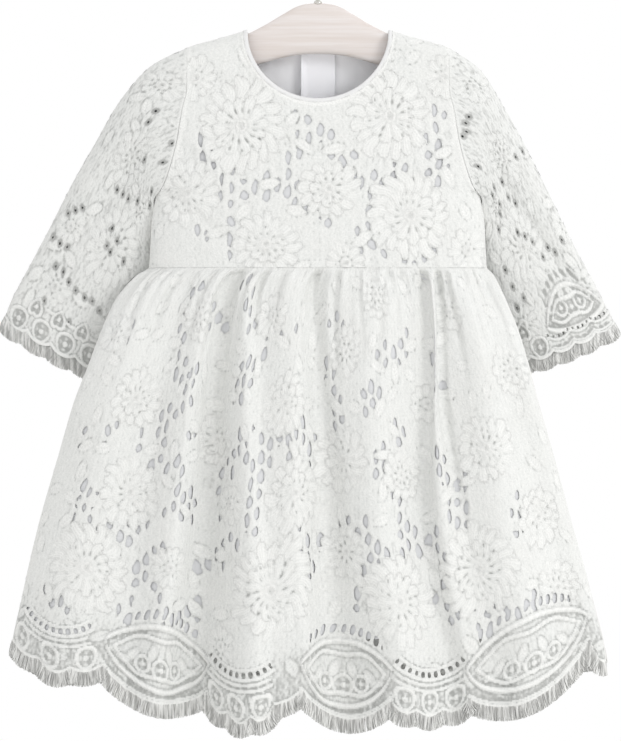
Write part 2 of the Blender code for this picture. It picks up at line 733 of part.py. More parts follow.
def build_skirt(name, side, folds, hem, holder):
    columns = fold_columns(folds)
    between = np.arange(0, SCALLOP_STEPS * (len(columns) - 1) + 1) / SCALLOP_STEPS
    fine = np.interp(between, np.arange(len(columns)), columns)
    level, _ = hem_down(hem, folds, columns)
    top = WAIST + SEAM / 2
    rows = np.array(SKIRT_ROWS)[:, None]
    points = skirt_points(folds, side, columns[None, :], top + rows * (level - top))
    _, edge = hem_down(hem, folds, fine)
    border = skirt_points(folds, side, fine, edge)
    points[-1] = border[::SCALLOP_STEPS]
    normals = skirt_normals(points, side)
    above = skirt_points(folds, side, fine, edge - ABOVE_HEM)
    border_normals = skirt_normals(np.stack([above, border]), side)[1]
    normals[-1] = border_normals[::SCALLOP_STEPS]
    wall = Wall(points, normals, border, border_normals)
    gaps = ground_gaps(points, 1, 1)
    wall.build("skirt_" + name, "lace", holder, 0.0, LACE_THICK, gaps)

    _, inner_edge = wall.moved(LACE_THICK)
    hang = unit(border - above)
    fringe("hem_fringe_" + name, border, inner_edge, hang, HEM_LOCK, False, holder)

    inside_rows = np.array(SKIRT_LINING_ROWS)[:, None]
    inside_down = top + inside_rows * (LINING_HEM - top) + 0 * columns
    inside = skirt_points(folds, side, columns[None, :], inside_down)
    inside_normals = skirt_normals(inside, side)
    away = np.minimum(LAYER + SKIRT_LINING_EASE * inside_rows, SKIRT_LINING_IN)[..., None]
    inside = inside - away * inside_normals
    Wall(inside, inside_normals).build("skirt_lining_" + name, "lining", holder, 0.0, LINING_THICK)


def skirt_normals(points, side):
    """Normals of a skirt panel: level at the waist and square at the side seams."""
    normals = facing(points, side)
    for column in (0, -1):
        flatten(normals, (slice(None), column), 1)
        normals[:, column, 0] = np.abs(normals[:, column, 0]) * (-1 if column == 0 else 1)
    if points.shape[0] > 2:
        flatten(normals, (0,), 2)
    return normals


# ---- sleeves ---------------------------------------------------------------------------------


def sleeve_rings(sections, side):
    """Points of every section of one half of a sleeve, from its top fold to the underarm."""
    share = np.array(ARMHOLE_ROWS)
    sign = np.sign(sections["top_across"][0])
    down = ARMHOLE_TOP + share * (UNDERARM - ARMHOLE_TOP)
    edge = along(BODICE, "down", "edge", down)
    armhole_depth = side * (bodice_depth(edge, down) + SEAM / 2)
    rings = [np.stack([sign * (edge + SEAM), armhole_depth, -down], axis=-1)]
    round_part = (1 - np.abs(2 * share - 1) ** SLEEVE_ROUNDNESS) ** (1 / SLEEVE_ROUNDNESS)
    for k in range(1, len(sections["half"])):
        top_x, top_z, low_x, low_z, back, half = (sections[c][k] for c in sections)
        across = top_x + share * (low_x - top_x)
        depth = back + side * (half * round_part + SEAM / 2)
        rings.append(np.stack([across, depth, -(top_z + share * (low_z - top_z))], axis=-1))
    return np.array(rings)


def sleeve_at(rings, station, column):
    """Points of a sleeve half between its sections and columns; past the last it runs straight on."""
    index = np.clip(np.floor(station), 0, len(rings) - 2).astype(int)
    t = (station - index)[..., None]
    left = np.clip(np.floor(column), 0, rings.shape[1] - 2).astype(int)
    s = (column - left)[..., None]
    near = rings[index, left] * (1 - s) + rings[index, left + 1] * s
    far = rings[index + 1, left] * (1 - s) + rings[index + 1, left + 1] * s
    return near * (1 - t) + far * t


def cuff_station(column, columns, last):
    """How far down the sleeve its scalloped cuff reaches at a column."""
    share = column / columns
    wave = np.abs(np.sin(np.pi * CUFF_LOBES * share))
    return last + CUFF_BOW * np.sin(np.pi * share) + CUFF_DROP * wave**CUFF_LOBE_POWER


def sleeve_half(sections, side):
    """One half of a sleeve as a wall, its outside facing the front (side -1) or the back (1)."""
    rings = sleeve_rings(sections, side)
    last, columns = len(rings) - 1, rings.shape[1] - 1
    column = np.arange(columns + 1.0)
    fine = np.arange(0, CUFF_STEPS * columns + 1) / CUFF_STEPS
    rows = np.linspace(0, last, SLEEVE_ROWS + 1)
    station, place_at = np.broadcast_arrays(rows[:, None], column[None, :])
    points = sleeve_at(rings, station, place_at)
    edge = sleeve_at(rings, cuff_station(fine, columns, last), fine)
    points[-1] = edge[::CUFF_STEPS]
    above = sleeve_at(rings, cuff_station(fine, columns, last) - ABOVE_CUFF, fine)
    turn = side if sections["top_across"][0] < 0 else -side
    normals = sleeve_normals(points, turn)
    edge_normals = sleeve_normals(np.stack([above, edge]), turn)[1]
    normals[-1] = edge_normals[::CUFF_STEPS]
    return Wall(points, normals, edge, edge_normals), unit(edge - above)


def sleeve_normals(points, side):
    normals = facing(points, side)
    for column in (0, -1):
        flatten(normals, (slice(None), column), 1)
    return normals


def build_sleeve(name, sections, holder):
    halves = {}
    for part, side in (("front", -1), ("back", 1)):
        wall, hang = sleeve_half(sections, side)
        gaps = ground_gaps(wall.points, 1, 2)
        wall.build(f"sleeve_{name}_{part}", "lace", holder, 0.0, LACE_THICK, gaps)
        halves[part] = (wall.hem, wall.moved(LACE_THICK)[1], hang)
    loop = [np.concatenate([f, b[-2:0:-1]]) for f, b in zip(halves["front"], halves["back"])]
    fringe("cuff_fringe_" + name, *loop, CUFF_LOCK, True, holder)


def main():
    clear_scene()
    holder = bpy.data.objects.new("gown_on_hanger", None)
    bpy.context.collection.objects.link(holder)
    build_hanger(holder)
    build_hook(holder)
    build_bodice(holder)
    build_skirt("front", -1, FRONT_FOLDS, FRONT_HEM, holder)
    build_skirt("back", 1, BACK_FOLDS, BACK_HEM, holder)
    build_sleeve("left", SLEEVE_LEFT, holder)
    build_sleeve("right", SLEEVE_RIGHT, holder)


main()
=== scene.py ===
"""Looks of the child's lace gown on its wooden hanger.

Sizes are in millimetres until a mesh is made. X runs across the gown, -Y is its front, Z points up,
and `down` is the distance below the inside of the hanger's hook. Each lace piece is worked out on its
flat cloth (u across, v down), cut along the edges of its holes and laid on the gown's form.
"""

import math

import bmesh
import bpy
import numpy as np
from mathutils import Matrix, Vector


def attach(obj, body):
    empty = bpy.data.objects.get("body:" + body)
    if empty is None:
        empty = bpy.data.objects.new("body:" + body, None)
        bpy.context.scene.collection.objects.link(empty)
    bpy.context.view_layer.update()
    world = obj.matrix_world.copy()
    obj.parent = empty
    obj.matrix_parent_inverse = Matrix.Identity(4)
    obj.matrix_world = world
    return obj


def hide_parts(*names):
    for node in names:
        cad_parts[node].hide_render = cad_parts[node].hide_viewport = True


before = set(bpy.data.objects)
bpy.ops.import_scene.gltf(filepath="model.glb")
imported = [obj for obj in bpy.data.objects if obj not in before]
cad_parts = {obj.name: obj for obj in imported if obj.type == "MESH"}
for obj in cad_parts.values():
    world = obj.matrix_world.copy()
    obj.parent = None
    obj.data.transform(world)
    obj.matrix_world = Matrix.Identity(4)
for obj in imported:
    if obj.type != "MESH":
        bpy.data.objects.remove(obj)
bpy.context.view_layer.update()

MM = 0.001
# A distance that is outside every motif.
FAR = 99.0


def table(columns, *rows):
    """A short table of sizes as named columns."""
    return dict(zip(columns.split(), np.array(rows, float).T))


# ---- the gown's sizes, as its construction has them --------------------------------------------

SEAM = 0.4
TUCK = 1.6

HANGER = table(
    "across top bottom thick",
    (0, 58.0, 94.7, 10.0),
    (8, 58.6, 95.0, 10.0),
    (15, 60.5, 95.6, 10.0),
    (25, 66.0, 97.4, 10.0),
    (38, 73.7, 101.0, 10.0),
    (54, 81.5, 105.6, 10.0),
    (72, 87.0, 109.2, 9.6),
    (94, 93.5, 113.0, 9.0),
    (103, 100.6, 115.4, 8.0),
    (110, 106.4, 116.0, 6.4),
    (114, 111.0, 114.6, 3.6),
)
CLOTH_ABOVE_HANGER = 3.5
WIRE = 3.4
HOOK_INSIDE = 16.0
HOOK_BEND = math.radians(50)
HOOK_TIP = math.radians(203)

NECK_HALF = 54.0
NECK_FRONT = 52.0
NECK_BACK = 14.0
SHOULDER_END = 94.0
ARMHOLE_TOP = 90.0
UNDERARM = 197.0
WAIST = 248.8
ROUND_OVER = 9.0
TURNED_OVER = 8.6
ROUNDNESS = 2.3
COLUMN_FAN = 0.6
NECK_SHARE = 7 / 9
BODICE = table(
    "down edge spare depth",
    (90.0, 94.0, 66.0, 12.6),
    (120.6, 94.2, 56.0, 15.0),
    (135.0, 97.5, 46.5, 16.8),
    (156.6, 101.0, 34.0, 19.0),
    (178.0, 106.6, 20.4, 20.8),
    (192.6, 112.6, 6.6, 22.0),
    (197.0, 118.0, 0.0, 22.2),
    (248.8, 121.5, 0.0, 25.0),
)
BINDING_WIDE = 3.2
BINDING_THICK = 2.4
PLACKET_HALF = 12.5
PLACKET_TOP = 93.0
PLACKET_END = 238.0
PLACKET_IN = 3.2
BUTTON_DOWN = (104.0, 144.0, 184.0)
BUTTON_ACROSS = 7.5
BUTTON_LIFT = 0.8

SKIRT = table(
    "down left right depth forward",
    (249.2, -121.5, 121.5, 25.0, 0.0),
    (256.0, -131.8, 126.5, 27.0, 1.0),
    (271.8, -145.0, 134.5, 28.0, 6.0),
    (293.4, -155.0, 143.5, 29.0, 11.0),
    (317.9, -164.5, 151.0, 30.0, 13.0),
    (343.8, -174.8, 158.0, 30.5, 11.0),
    (387.8, -188.0, 170.8, 31.5, 3.0),
    (432.0, -200.8, 182.6, 32.5, 0.0),
    (482.0, -212.4, 196.6, 33.5, 0.0),
    (530.0, -222.0, 207.2, 34.0, 0.0),
    (590.0, -226.0, 209.0, 34.0, 0.0),
)
KNEE = 380.0
HEM = 545.0
FRONT_FOLDS = table(
    "waist knee hem out_waist out_knee out_hem",
    (-121.5, -185.0, -223.5, 0.0, 0.0, 0.0),
    (-103.0, -157.0, -186.0, 2.0, 5.0, 9.0),
    (-81.4, -121.0, -139.0, -3.0, -5.0, -1.5),
    (-67.0, -96.0, -117.0, 2.0, 5.0, 6.0),
    (-52.6, -75.6, -93.0, -3.5, -13.0, -20.0),
    (-43.2, -49.0, -45.0, 2.0, 6.0, 13.0),
    (-33.1, -38.0, -31.0, -2.5, 1.0, 8.0),
    (-13.0, -18.7, -11.5, 2.5, 5.0, 7.0),
    (4.0, 3.6, 12.0, -2.5, -8.5, -15.0),
    (43.2, 41.0, 62.6, 2.0, 5.0, 7.0),
    (74.2, 73.4, 95.0, -3.5, -9.0, -11.0),
    (79.2, 85.7, 109.4, 1.5, 1.0, -4.0),
    (84.0, 95.0, 123.8, -3.5, -5.0, -2.0),
    (98.6, 127.4, 149.0, 2.0, 5.0, 8.0),
    (110.9, 152.6, 192.2, -2.0, -2.0, -6.0),
    (121.5, 168.5, 207.6, 0.0, 0.0, 0.0),
)
BACK_FOLDS = table(
    "waist knee hem out_waist out_knee out_hem",
    (-121.5, -185.0, -223.5, 0.0, 0.0, 0.0),
    (-108.0, -152.0, -180.0, -2.0, -3.0, -5.0),
    (-90.0, -126.0, -150.0, 2.0, 5.0, 9.0),
    (-70.0, -98.0, -112.0, -3.0, -7.0, -12.0),
    (-50.0, -64.0, -70.0, 2.0, 5.0, 9.0),
    (-28.0, -36.0, -38.0, -3.0, -6.0, -5.0),
    (-6.0, -8.0, -6.0, 2.0, 4.0, 7.0),
    (20.0, 24.0, 32.0, -3.0, -8.0, -12.0),
    (46.0, 60.0, 74.0, 2.0, 6.0, 10.0),
    (72.0, 96.0, 116.0, -3.0, -6.0, -7.0),
    (94.0, 128.0, 152.0, 2.0, 4.0, 8.0),
    (110.0, 150.0, 182.0, -2.0, -3.0, -4.0),
    (121.5, 168.5, 207.6, 0.0, 0.0, 0.0),
)
LINING_HEM = 515.0
FRONT_HEM = table(
    "across notch drop lobes point",
    (-226.0, 515.0, 15.0, 3, 1.5),
    (-154.0, 535.0, 17.0, 1, 0.7),
    (-80.6, 554.0, 18.0, 3, 0.8),
    (-31.0, 563.0, 2.0, 1, 1.0),
    (-11.2, 552.5, 18.0, 1, 0.75),
    (51.6, 559.0, 13.0, 3, 0.6),
    (108.0, 558.0, 22.0, 1, 0.75),
    (197.3, 517.0, 17.0, 1, 0.75),
    (214.0, 516.0, 0.0, 1, 0.75),
)
BACK_HEM = table(
    "across notch drop lobes point",
    (-226.0, 515.0, 15.0, 1, 0.75),
    (-150.0, 534.0, 13.0, 3, 0.75),
    (-80.0, 545.0, 17.0, 1, 0.75),
    (-8.0, 549.0, 13.0, 3, 0.75),
    (60.0, 548.0, 17.0, 1, 0.75),
    (134.0, 536.0, 13.0, 3, 0.75),
    (214.0, 516.0, 0.0, 1, 0.75),
)
LOBE_SHARE = 0.28

SLEEVE_LEFT = table(
    "top_across top_down under_across under_down back half",
    (-94.0, 90.0, -118.0, 197.0, 0.0, 0.0),
    (-121.5, 104.0, -118.8, 204.0, 2.0, 12.5),
    (-143.5, 129.0, -119.6, 214.0, 6.0, 12.5),
    (-160.0, 157.0, -120.6, 226.0, 10.5, 13.0),
    (-178.0, 188.5, -122.0, 242.0, 15.0, 13.5),
    (-195.0, 221.5, -125.0, 262.0, 20.0, 14.0),
    (-209.5, 248.5, -129.0, 284.0, 24.0, 14.5),
    (-221.0, 270.0, -134.0, 306.0, 26.0, 15.0),
    (-226.8, 284.5, -139.0, 326.0, 27.0, 16.0),
)
SLEEVE_RIGHT = table(
    "top_across top_down under_across under_down back half",
    (94.0, 90.0, 118.0, 197.0, 0.0, 0.0),
    (117.5, 106.5, 118.8, 204.0, 2.0, 12.5),
    (135.5, 135.0, 119.6, 214.0, 6.0, 12.5),
    (150.0, 161.0, 120.6, 226.0, 10.5, 13.0),
    (166.0, 193.0, 122.0, 242.0, 15.0, 13.5),
    (182.5, 227.0, 124.5, 260.0, 20.0, 14.0),
    (196.5, 253.0, 128.0, 281.0, 24.0, 14.5),
    (208.5, 276.0, 133.0, 300.0, 26.0, 15.0),
    (214.8, 288.5, 138.0, 317.0, 27.0, 16.0),
)
SLEEVE_ROUNDNESS = 2.5
CUFF_LOBES = 5
CUFF_DROP = 0.22
CUFF_BOW = 0.2
CUFF_LOBE_POWER = 0.7

# ---- the lace's and the finer pieces' own sizes ------------------------------------------------

# The cut of each piece laid flat, across and down, with its seam allowance. A back of the bodice is
# half as wide as its front, and the skirt's width comes from its folds.
SLEEVE_FLAT = (118.0, 230.0)
SKIRT_FLAT_LONG = 300.0
SLEEVE_WIDE = 108.0
SLEEVE_LONG = 215.0
# The height at which the skirt's flat width is taken.
WIDTH_AT = 530.0

# Cells of the grids that the cloths are worked out on.
BODICE_CELL = 1.05
BACK_CELL = 1.15
SLEEVE_CELL = 1.15
LINING_CELL = 2.6
SKIRT_CELLS = (396, 250)
SKIRT_BACK_CELLS = (336, 212)
SKIRT_LINING_CELLS = (220, 110)

NET_WIDE = 7.8
NET_TALL = 12.6
GAP_WIDE = 6.2
GAP_TALL = 12.4
SLEEVE_HOLE = 4.8
FINE_WIDE = 4.4
FINE_TALL = 6.6
# Painted shade in the hollows of the fine diamond mesh.
FINE_PAINTED_SHADE = 0.2
NET_HIGH = 0.55
CORD = 0.9
LACE_SINK = 0.7
LINING_BEHIND = 1.25
SPRIG_SPACING = 21.0
SEAM_RIDGE = 1.6
SEAM_CLOSED = 2.2
UNDERARM_IN = 2.6
STITCH_PITCH = 2.6
STITCH_LONG = 1.6
STITCH_WIDE = 0.36
EYELASH_SUNK = 1.2
EYELASH_PITCH = 0.9
EYELASH_ROWS = 0.8
EYELASH_LONG = 9.4
CUFF_EYELASH_LONG = 8.6
EYELASH_WIDE = 1.05
WAIST_EASE = 14.0
BACK_HOLES = 0.6
# Painted shade: how much greyer the unlined sleeves' lace is painted.
SLEEVE_PAINTED_SHADE = 0.13
# Painted shade: how much greyer the lace of the unlined border is painted.
BORDER_PAINTED_SHADE = 0.31
# Fans of the hem and of the right cuff: heights on the flat cloth of their tips and of their top.
HEM_FAN = (-22.0, -40.0)
LEAST_FAN = 16.0
CUFF_FAN_HALF = 31.0
CUFF_FAN = (-16.0, -44.0, -8.0)

# Flowers: where each one's middle is, its radius and how many petals it has.
BODICE_FLOWERS = table(
    "across down radius petals",
    (-55.0, 147.0, 34.0, 18),
    (51.0, 140.0, 31.0, 17),
    (66.0, 211.0, 32.0, 18),
    (-38.0, 232.0, 24.0, 15),
    (8.0, 192.0, 22.0, 13),
    (-94.0, 195.0, 25.0, 14),
    (-88.0, 112.0, 16.0, 11),
    (92.0, 112.0, 16.0, 11),
    (20.0, 246.0, 14.0, 11),
    (108.0, 236.0, 16.0, 11),
)
SKIRT_FLOWERS = table(
    "across down radius petals",
    (-165.6, 464.0, 34.0, 19),
    (-134.6, 410.0, 27.0, 15),
    (-130.3, 342.0, 24.0, 14),
    (-105.0, 464.0, 17.0, 12),
    (-34.6, 481.0, 36.0, 20),
    (-15.8, 410.0, 26.0, 15),
    (-23.8, 347.0, 22.0, 13),
    (-85.0, 283.0, 19.0, 12),
    (-72.0, 372.0, 18.0, 12),
    (-63.0, 418.0, 15.0, 10),
    (18.0, 386.0, 25.0, 14),
    (20.0, 310.0, 18.0, 12),
    (20.0, 452.0, 19.0, 12),
    (41.0, 268.0, 18.0, 12),
    (60.0, 398.0, 18.0, 12),
    (79.2, 347.0, 15.0, 10),
    (120.2, 378.0, 26.0, 15),
    (115.2, 466.0, 34.0, 19),
    (158.0, 428.0, 22.0, 13),
    (59.0, 488.0, 32.0, 18),
    (138.0, 322.0, 20.0, 12),
    (94.0, 280.0, 16.0, 11),
    (-145.0, 296.0, 17.0, 11),
    (-33.0, 284.0, 17.0, 11),
    (-190.0, 520.0, 14.0, 10),
    (-70.0, 520.0, 15.0, 11),
    (172.0, 478.0, 20.0, 12),
)
SLEEVE_FLOWERS = table(
    "across down radius petals",
    (-148.0, 234.0, 29.0, 17),
    (-134.0, 170.0, 22.0, 14),
    (-178.0, 218.0, 15.0, 11),
    (-112.0, 118.0, 15.0, 11),
    (-128.0, 206.0, 13.0, 10),
    (-190.0, 262.0, 16.0, 11),
    (-148.0, 290.0, 17.0, 12),
)


# Where the ground opens into gaps: a line from across, down to across, down, and its half width.
BODICE_GAPS = (
    (-80, 158, -75, 182, 5), (-72, 193, -58, 185, 5.8), (-62, 196, -63, 225, 5),
    (-63, 227, -59, 237, 4.3), (-87, 224, -78, 226, 4.3), (-52, 191, -31, 187, 5),
    (-25, 182, -13, 189, 7.2), (-19, 164, -18, 171, 4.3), (-7, 147, 3, 157, 5.8), (6, 162, 18, 180, 5),
    (24, 171, 25, 178, 4.3), (37, 183, 68, 184, 5.8), (79, 170, 83, 185, 5), (84, 158, 88, 172, 5),
    (86, 131, 91, 139, 4.3), (88, 149, 88, 157, 3.6), (37, 194, 40, 210, 4.3), (28, 224, 32, 229, 3.6),
    (38, 233, 45, 236, 5), (55, 219, 62, 223, 5), (56, 244, 73, 240, 5), (-6, 202, 0, 207, 5),
    (5, 211, 9, 216, 4.3), (81, 232, 83, 244, 4.3), (-62, 149, -53, 155, 4.3),
)
SKIRT_GAPS = (
    (-89, 270, -84, 285, 5), (-92, 290, -71, 288, 5), (-51, 261, -48, 286, 5.8),
    (-37, 301, -19, 296, 4.3), (-135, 292, -141, 306, 5), (-101, 316, -91, 335, 5.8),
    (-92, 345, -109, 358, 5.8), (-50, 322, -58, 338, 5), (13, 290, 23, 301, 5.8), (9, 309, 9, 326, 3.6),
    (12, 345, 16, 369, 5.8), (34, 351, 39, 337, 4.3), (49, 308, 62, 306, 5), (48, 376, 46, 398, 5.8),
    (55, 364, 59, 373, 4.3), (59, 409, 60, 430, 5), (39, 453, 71, 439, 6.5), (86, 390, 92, 387, 4.3),
    (94, 398, 97, 424, 5.8), (101, 419, 104, 430, 3.6), (89, 439, 88, 459, 4.3),
    (92, 475, 96, 496, 5.8), (99, 488, 124, 499, 6.5), (131, 495, 160, 490, 5.8),
    (144, 416, 153, 445, 5.8), (82, 315, 89, 338, 3.6), (-60, 378, -69, 405, 5.8),
    (-66, 416, -69, 424, 3.6), (-54, 371, -45, 393, 5.8), (-42, 407, -49, 441, 5),
    (-58, 447, -78, 463, 5.8), (-31, 367, -7, 376, 6.5), (-37, 381, -33, 384, 5),
    (19, 436, 32, 433, 5.8), (-13, 445, -9, 466, 6.5), (-1, 441, -3, 450, 3.6), (32, 459, 31, 488, 4.3),
    (-148, 360, -155, 378, 5.8), (-166, 363, -170, 378, 5), (-162, 398, -169, 419, 5),
    (-174, 424, -145, 435, 6.5), (-137, 445, -127, 436, 6.5), (-130, 452, -124, 472, 6.5),
    (-119, 452, -114, 491, 5), (-110, 495, -92, 496, 5.8), (-140, 492, -138, 494, 3.6),
    (-110, 365, -110, 373, 3.6), (-110, 391, -95, 398, 5.8), (-102, 404, -97, 416, 5),
    (-107, 422, -92, 424, 5.8), (163, 470, 166, 481, 5), (-194, 484, -184, 489, 4.3),
    (-90, 365, -91, 373, 4.3), (-127, 367, -126, 376, 3.6),
)

# Single holes of the sleeves: across, down and their lean in degrees.
LEFT_SLEEVE_HOLES = (
    (-117, 136, 20), (-122, 144, 0), (-105, 159, 30), (-125, 171, 10), (-112, 173, -20),
    (-120, 194, 20), (-121, 204, 10), (-145, 193, 40), (-141, 196, 35), (-137, 199, 20),
    (-130, 201, 10), (-180, 209, 40), (-175, 207, 50), (-170, 206, 60), (-191, 226, 30),
    (-186, 231, 20), (-181, 234, -10), (-189, 247, 20), (-184, 252, 25), (-180, 259, 30),
    (-175, 265, 30), (-168, 270, 40), (-163, 273, 40), (-158, 280, 45), (-150, 238, 10),
    (-145, 230, 50), (-152, 233, -20), (-180, 288, 0), (-200, 279, 30), (-197, 272, 30), (-140, 244, 0),
    (-148, 220, 0),
)
RIGHT_SLEEVE_HOLES = (
    (108, 140, 40), (106, 145, 30), (107, 151, 0), (104, 154, 20), (115, 176, 0), (143, 169, 0),
    (148, 165, 20), (127, 191, 10), (126, 197, 0), (133, 187, 20), (137, 198, 0), (142, 202, 10),
    (131, 203, 0), (131, 210, -10), (149, 226, 20), (155, 230, -10), (144, 223, 0), (163, 241, 10),
    (166, 234, 0), (171, 237, 10), (176, 229, 0), (148, 270, 0), (144, 278, 0), (140, 262, 0),
    (135, 250, 0), (130, 221, 0),
)

# ---- shapes ------------------------------------------------------------------------------------


def along(data, key, column, value):
    """A column of a table at a value of its key column, on a smooth curve that never overshoots."""
    keys, heights = data[key], data[column]
    step = np.diff(heights) / np.diff(keys)
    turn = step[:-1] * step[1:]
    total = np.where(turn > 0, step[:-1] + step[1:], 1.0)
    slope = np.concatenate([step[:1], np.where(turn > 0, 2 * turn / total, 0.0), step[-1:]])
    value = np.clip(value, keys[0], keys[-1])
    i = np.clip(np.searchsorted(keys, value, side="right") - 1, 0, len(keys) - 2)
    width = keys[i + 1] - keys[i]
    t = (value - keys[i]) / width
    ends = heights[i] * (1 + 2 * t) * (1 - t) ** 2 + heights[i + 1] * t * t * (3 - 2 * t)
    return ends + width * (slope[i] * t * (1 - t) ** 2 - slope[i + 1] * t * t * (1 - t))


def unit(vectors):
    return vectors / np.linalg.norm(vectors, axis=-1, keepdims=True)


def hill(off, wide):
    """1 where off is 0, with a soft fall on both sides; a third is left at a distance of wide."""
    return np.exp(-((off / wide) ** 2))


def smooth(value, low, high):
    """0 below low, 1 above high and a soft step between."""
    t = np.clip((value - low) / (high - low), 0, 1)
    return t * t * (3 - 2 * t)


def facing(points, side):
    """Unit normals of a grid whose rows run down and whose columns run towards +X."""
    return unit(side * np.cross(np.gradient(points, axis=1), np.gradient(points, axis=0)))


def run(points, axis):
    """Distance along the rows or columns of a grid of points, from its first one."""
    step = np.linalg.norm(np.diff(points, axis=axis), axis=-1)
    start = np.zeros_like(np.take(step, [0], axis=axis))
    return np.concatenate([start, np.cumsum(step, axis=axis)], axis=axis)


class Cloth:
    """A piece of cloth as it hangs: a grid of points with normals, and where each is when flat."""

    def __init__(self, points, normals, u, v):
        self.points, self.normals, self.u, self.v = points, normals, u, v

    def pushed(self, depth):
        """The same cloth with each point moved out along its normal."""
        points = self.points + np.broadcast_to(depth, self.u.shape)[..., None] * self.normals
        return Cloth(points, self.normals, self.u, self.v)


# ---- finishes ----------------------------------------------------------------------------------


def linear(code):
    """An sRGB hex colour as linear red, green, blue and alpha."""
    parts = [int(code[k : k + 2], 16) / 255 for k in (0, 2, 4)]
    return (*(c / 12.92 if c <= 0.04045 else ((c + 0.055) / 1.055) ** 2.4 for c in parts), 1.0)


def add_node(tree, kind, settings=(), values=(), links=()):
    """One node with its settings, its unlinked values and the outputs that feed it."""
    node = tree.nodes.new(kind)
    for name, value in dict(settings).items():
        setattr(node, name, value)
    for name, value in dict(values).items():
        node.inputs[name].default_value = value
    for name, output in dict(links).items():
        tree.links.new(output, node.inputs[name])
    return node


def start_finish(name, **values):
    """A material with its Principled BSDF, whose uniform values are set on its sockets."""
    made = bpy.data.materials.new(name)
    made.use_nodes = True
    shader = made.node_tree.nodes["Principled BSDF"]
    for key, value in values.items():
        shader.inputs[key.replace("_", " ")].default_value = value
    return made, made.node_tree, shader


def cloth_uv(tree, across_mm, down_mm):
    """Links to the piece's own UV map, which is in metres of flat cloth, as counts of a repeat."""
    uv = add_node(tree, "ShaderNodeUVMap", {"uv_map": "flat"})
    scale = (1000 / across_mm, 1000 / down_mm, 1.0)
    place = add_node(tree, "ShaderNodeMapping", values={"Scale": scale}, links={"Vector": uv.outputs[0]})
    return {"Vector": place.outputs[0]}


def set_shades(ramp, first, last, *between):
    """Places and colours of a ramp: its two ends, then what lies between them."""
    elements = ramp.color_ramp.elements
    for element, (place, code) in zip(elements, (first, last)):
        element.position, element.color = place, linear(code)
    for place, code in between:
        elements.new(place).color = linear(code)


def lace_finish():
    """Washed cotton guipure: matt thick thread, brighter where petals are worked close, greyer in the
    open ground, with painted shade in its grooves, hollows, pressed-in holes and unlined parts, and with
    ribs of satin stitches that run out from the middle of each flower."""
    made, tree, shader = start_finish("washed_cotton_guipure", Roughness=0.88, Sheen_Weight=0.1)
    # The attribute holds how closely the thread is worked, with painted shade where its grooves, hollows and
    # holes would be shaded.
    dense_and_painted_shade = add_node(tree, "ShaderNodeAttribute", {"attribute_name": "dense_and_painted_shade"})
    shade = add_node(tree, "ShaderNodeValToRGB", links={"Fac": dense_and_painted_shade.outputs["Fac"]})
    set_shades(shade, (0.0, "999a98"), (1.0, "ececea"), (0.4, "dbdcda"))
    # Washing leaves faint clouds about 3 cm across.
    cloud = add_node(
        tree, "ShaderNodeTexNoise", values={"Scale": 1.0, "Detail": 3.0}, links=cloth_uv(tree, 26.0, 30.0)
    )
    soft = add_node(
        tree, "ShaderNodeMapRange", values={"From Min": 0.35, "From Max": 0.75, "To Max": 0.3},
        links={"Value": cloud.outputs["Fac"]},
    )
    tint = add_node(
        tree, "ShaderNodeMix", {"data_type": "RGBA"}, {"B": linear("dfdedb")},
        {"A": shade.outputs["Color"], "Factor": soft.outputs["Result"]},
    )
    # The attribute holds a direction and how many ribs go once round it.
    rib = add_node(tree, "ShaderNodeAttribute", {"attribute_name": "rib"})
    parts = add_node(tree, "ShaderNodeSeparateXYZ", links={"Vector": rib.outputs["Vector"]}).outputs
    turn = add_node(tree, "ShaderNodeMath", {"operation": "ARCTAN2"}, links={0: parts["Y"], 1: parts["X"]})
    phase = add_node(
        tree, "ShaderNodeMath", {"operation": "MULTIPLY"}, links={0: turn.outputs[0], 1: parts["Z"]}
    )
    ribs = add_node(tree, "ShaderNodeMath", {"operation": "SINE"}, links={0: phase.outputs[0]})
    # Embroidery threads lie about 0.5 mm apart, and are drawn at 1.3 mm so that they show.
    fuzz = add_node(
        tree, "ShaderNodeTexNoise", values={"Scale": 1.0, "Detail": 4.0}, links=cloth_uv(tree, 1.3, 1.3)
    )
    both = add_node(
        tree, "ShaderNodeMath", {"operation": "MULTIPLY_ADD"}, {1: 0.1},
        {0: ribs.outputs[0], 2: fuzz.outputs["Fac"]},
    )
    # Painted shade between the ribs of stitches and in the low parts of the thread grain.
    between = add_node(
        tree, "ShaderNodeMapRange", links={"Value": both.outputs[0]},
        values={"From Min": 0.28, "From Max": 0.62, "To Min": 0.36, "To Max": 0.0},
    )
    worked = add_node(
        tree, "ShaderNodeMix", {"data_type": "RGBA"}, {"B": linear("c3c4c2")},
        {"A": tint.outputs["Result"], "Factor": between.outputs["Result"]},
    )
    tree.links.new(worked.outputs["Result"], shader.inputs["Base Color"])
    bump = add_node(
        tree, "ShaderNodeBump", values={"Strength": 0.6, "Distance": 0.0007},
        links={"Height": both.outputs[0]},
    )
    tree.links.new(bump.outputs[0], shader.inputs["Normal"])
    return made


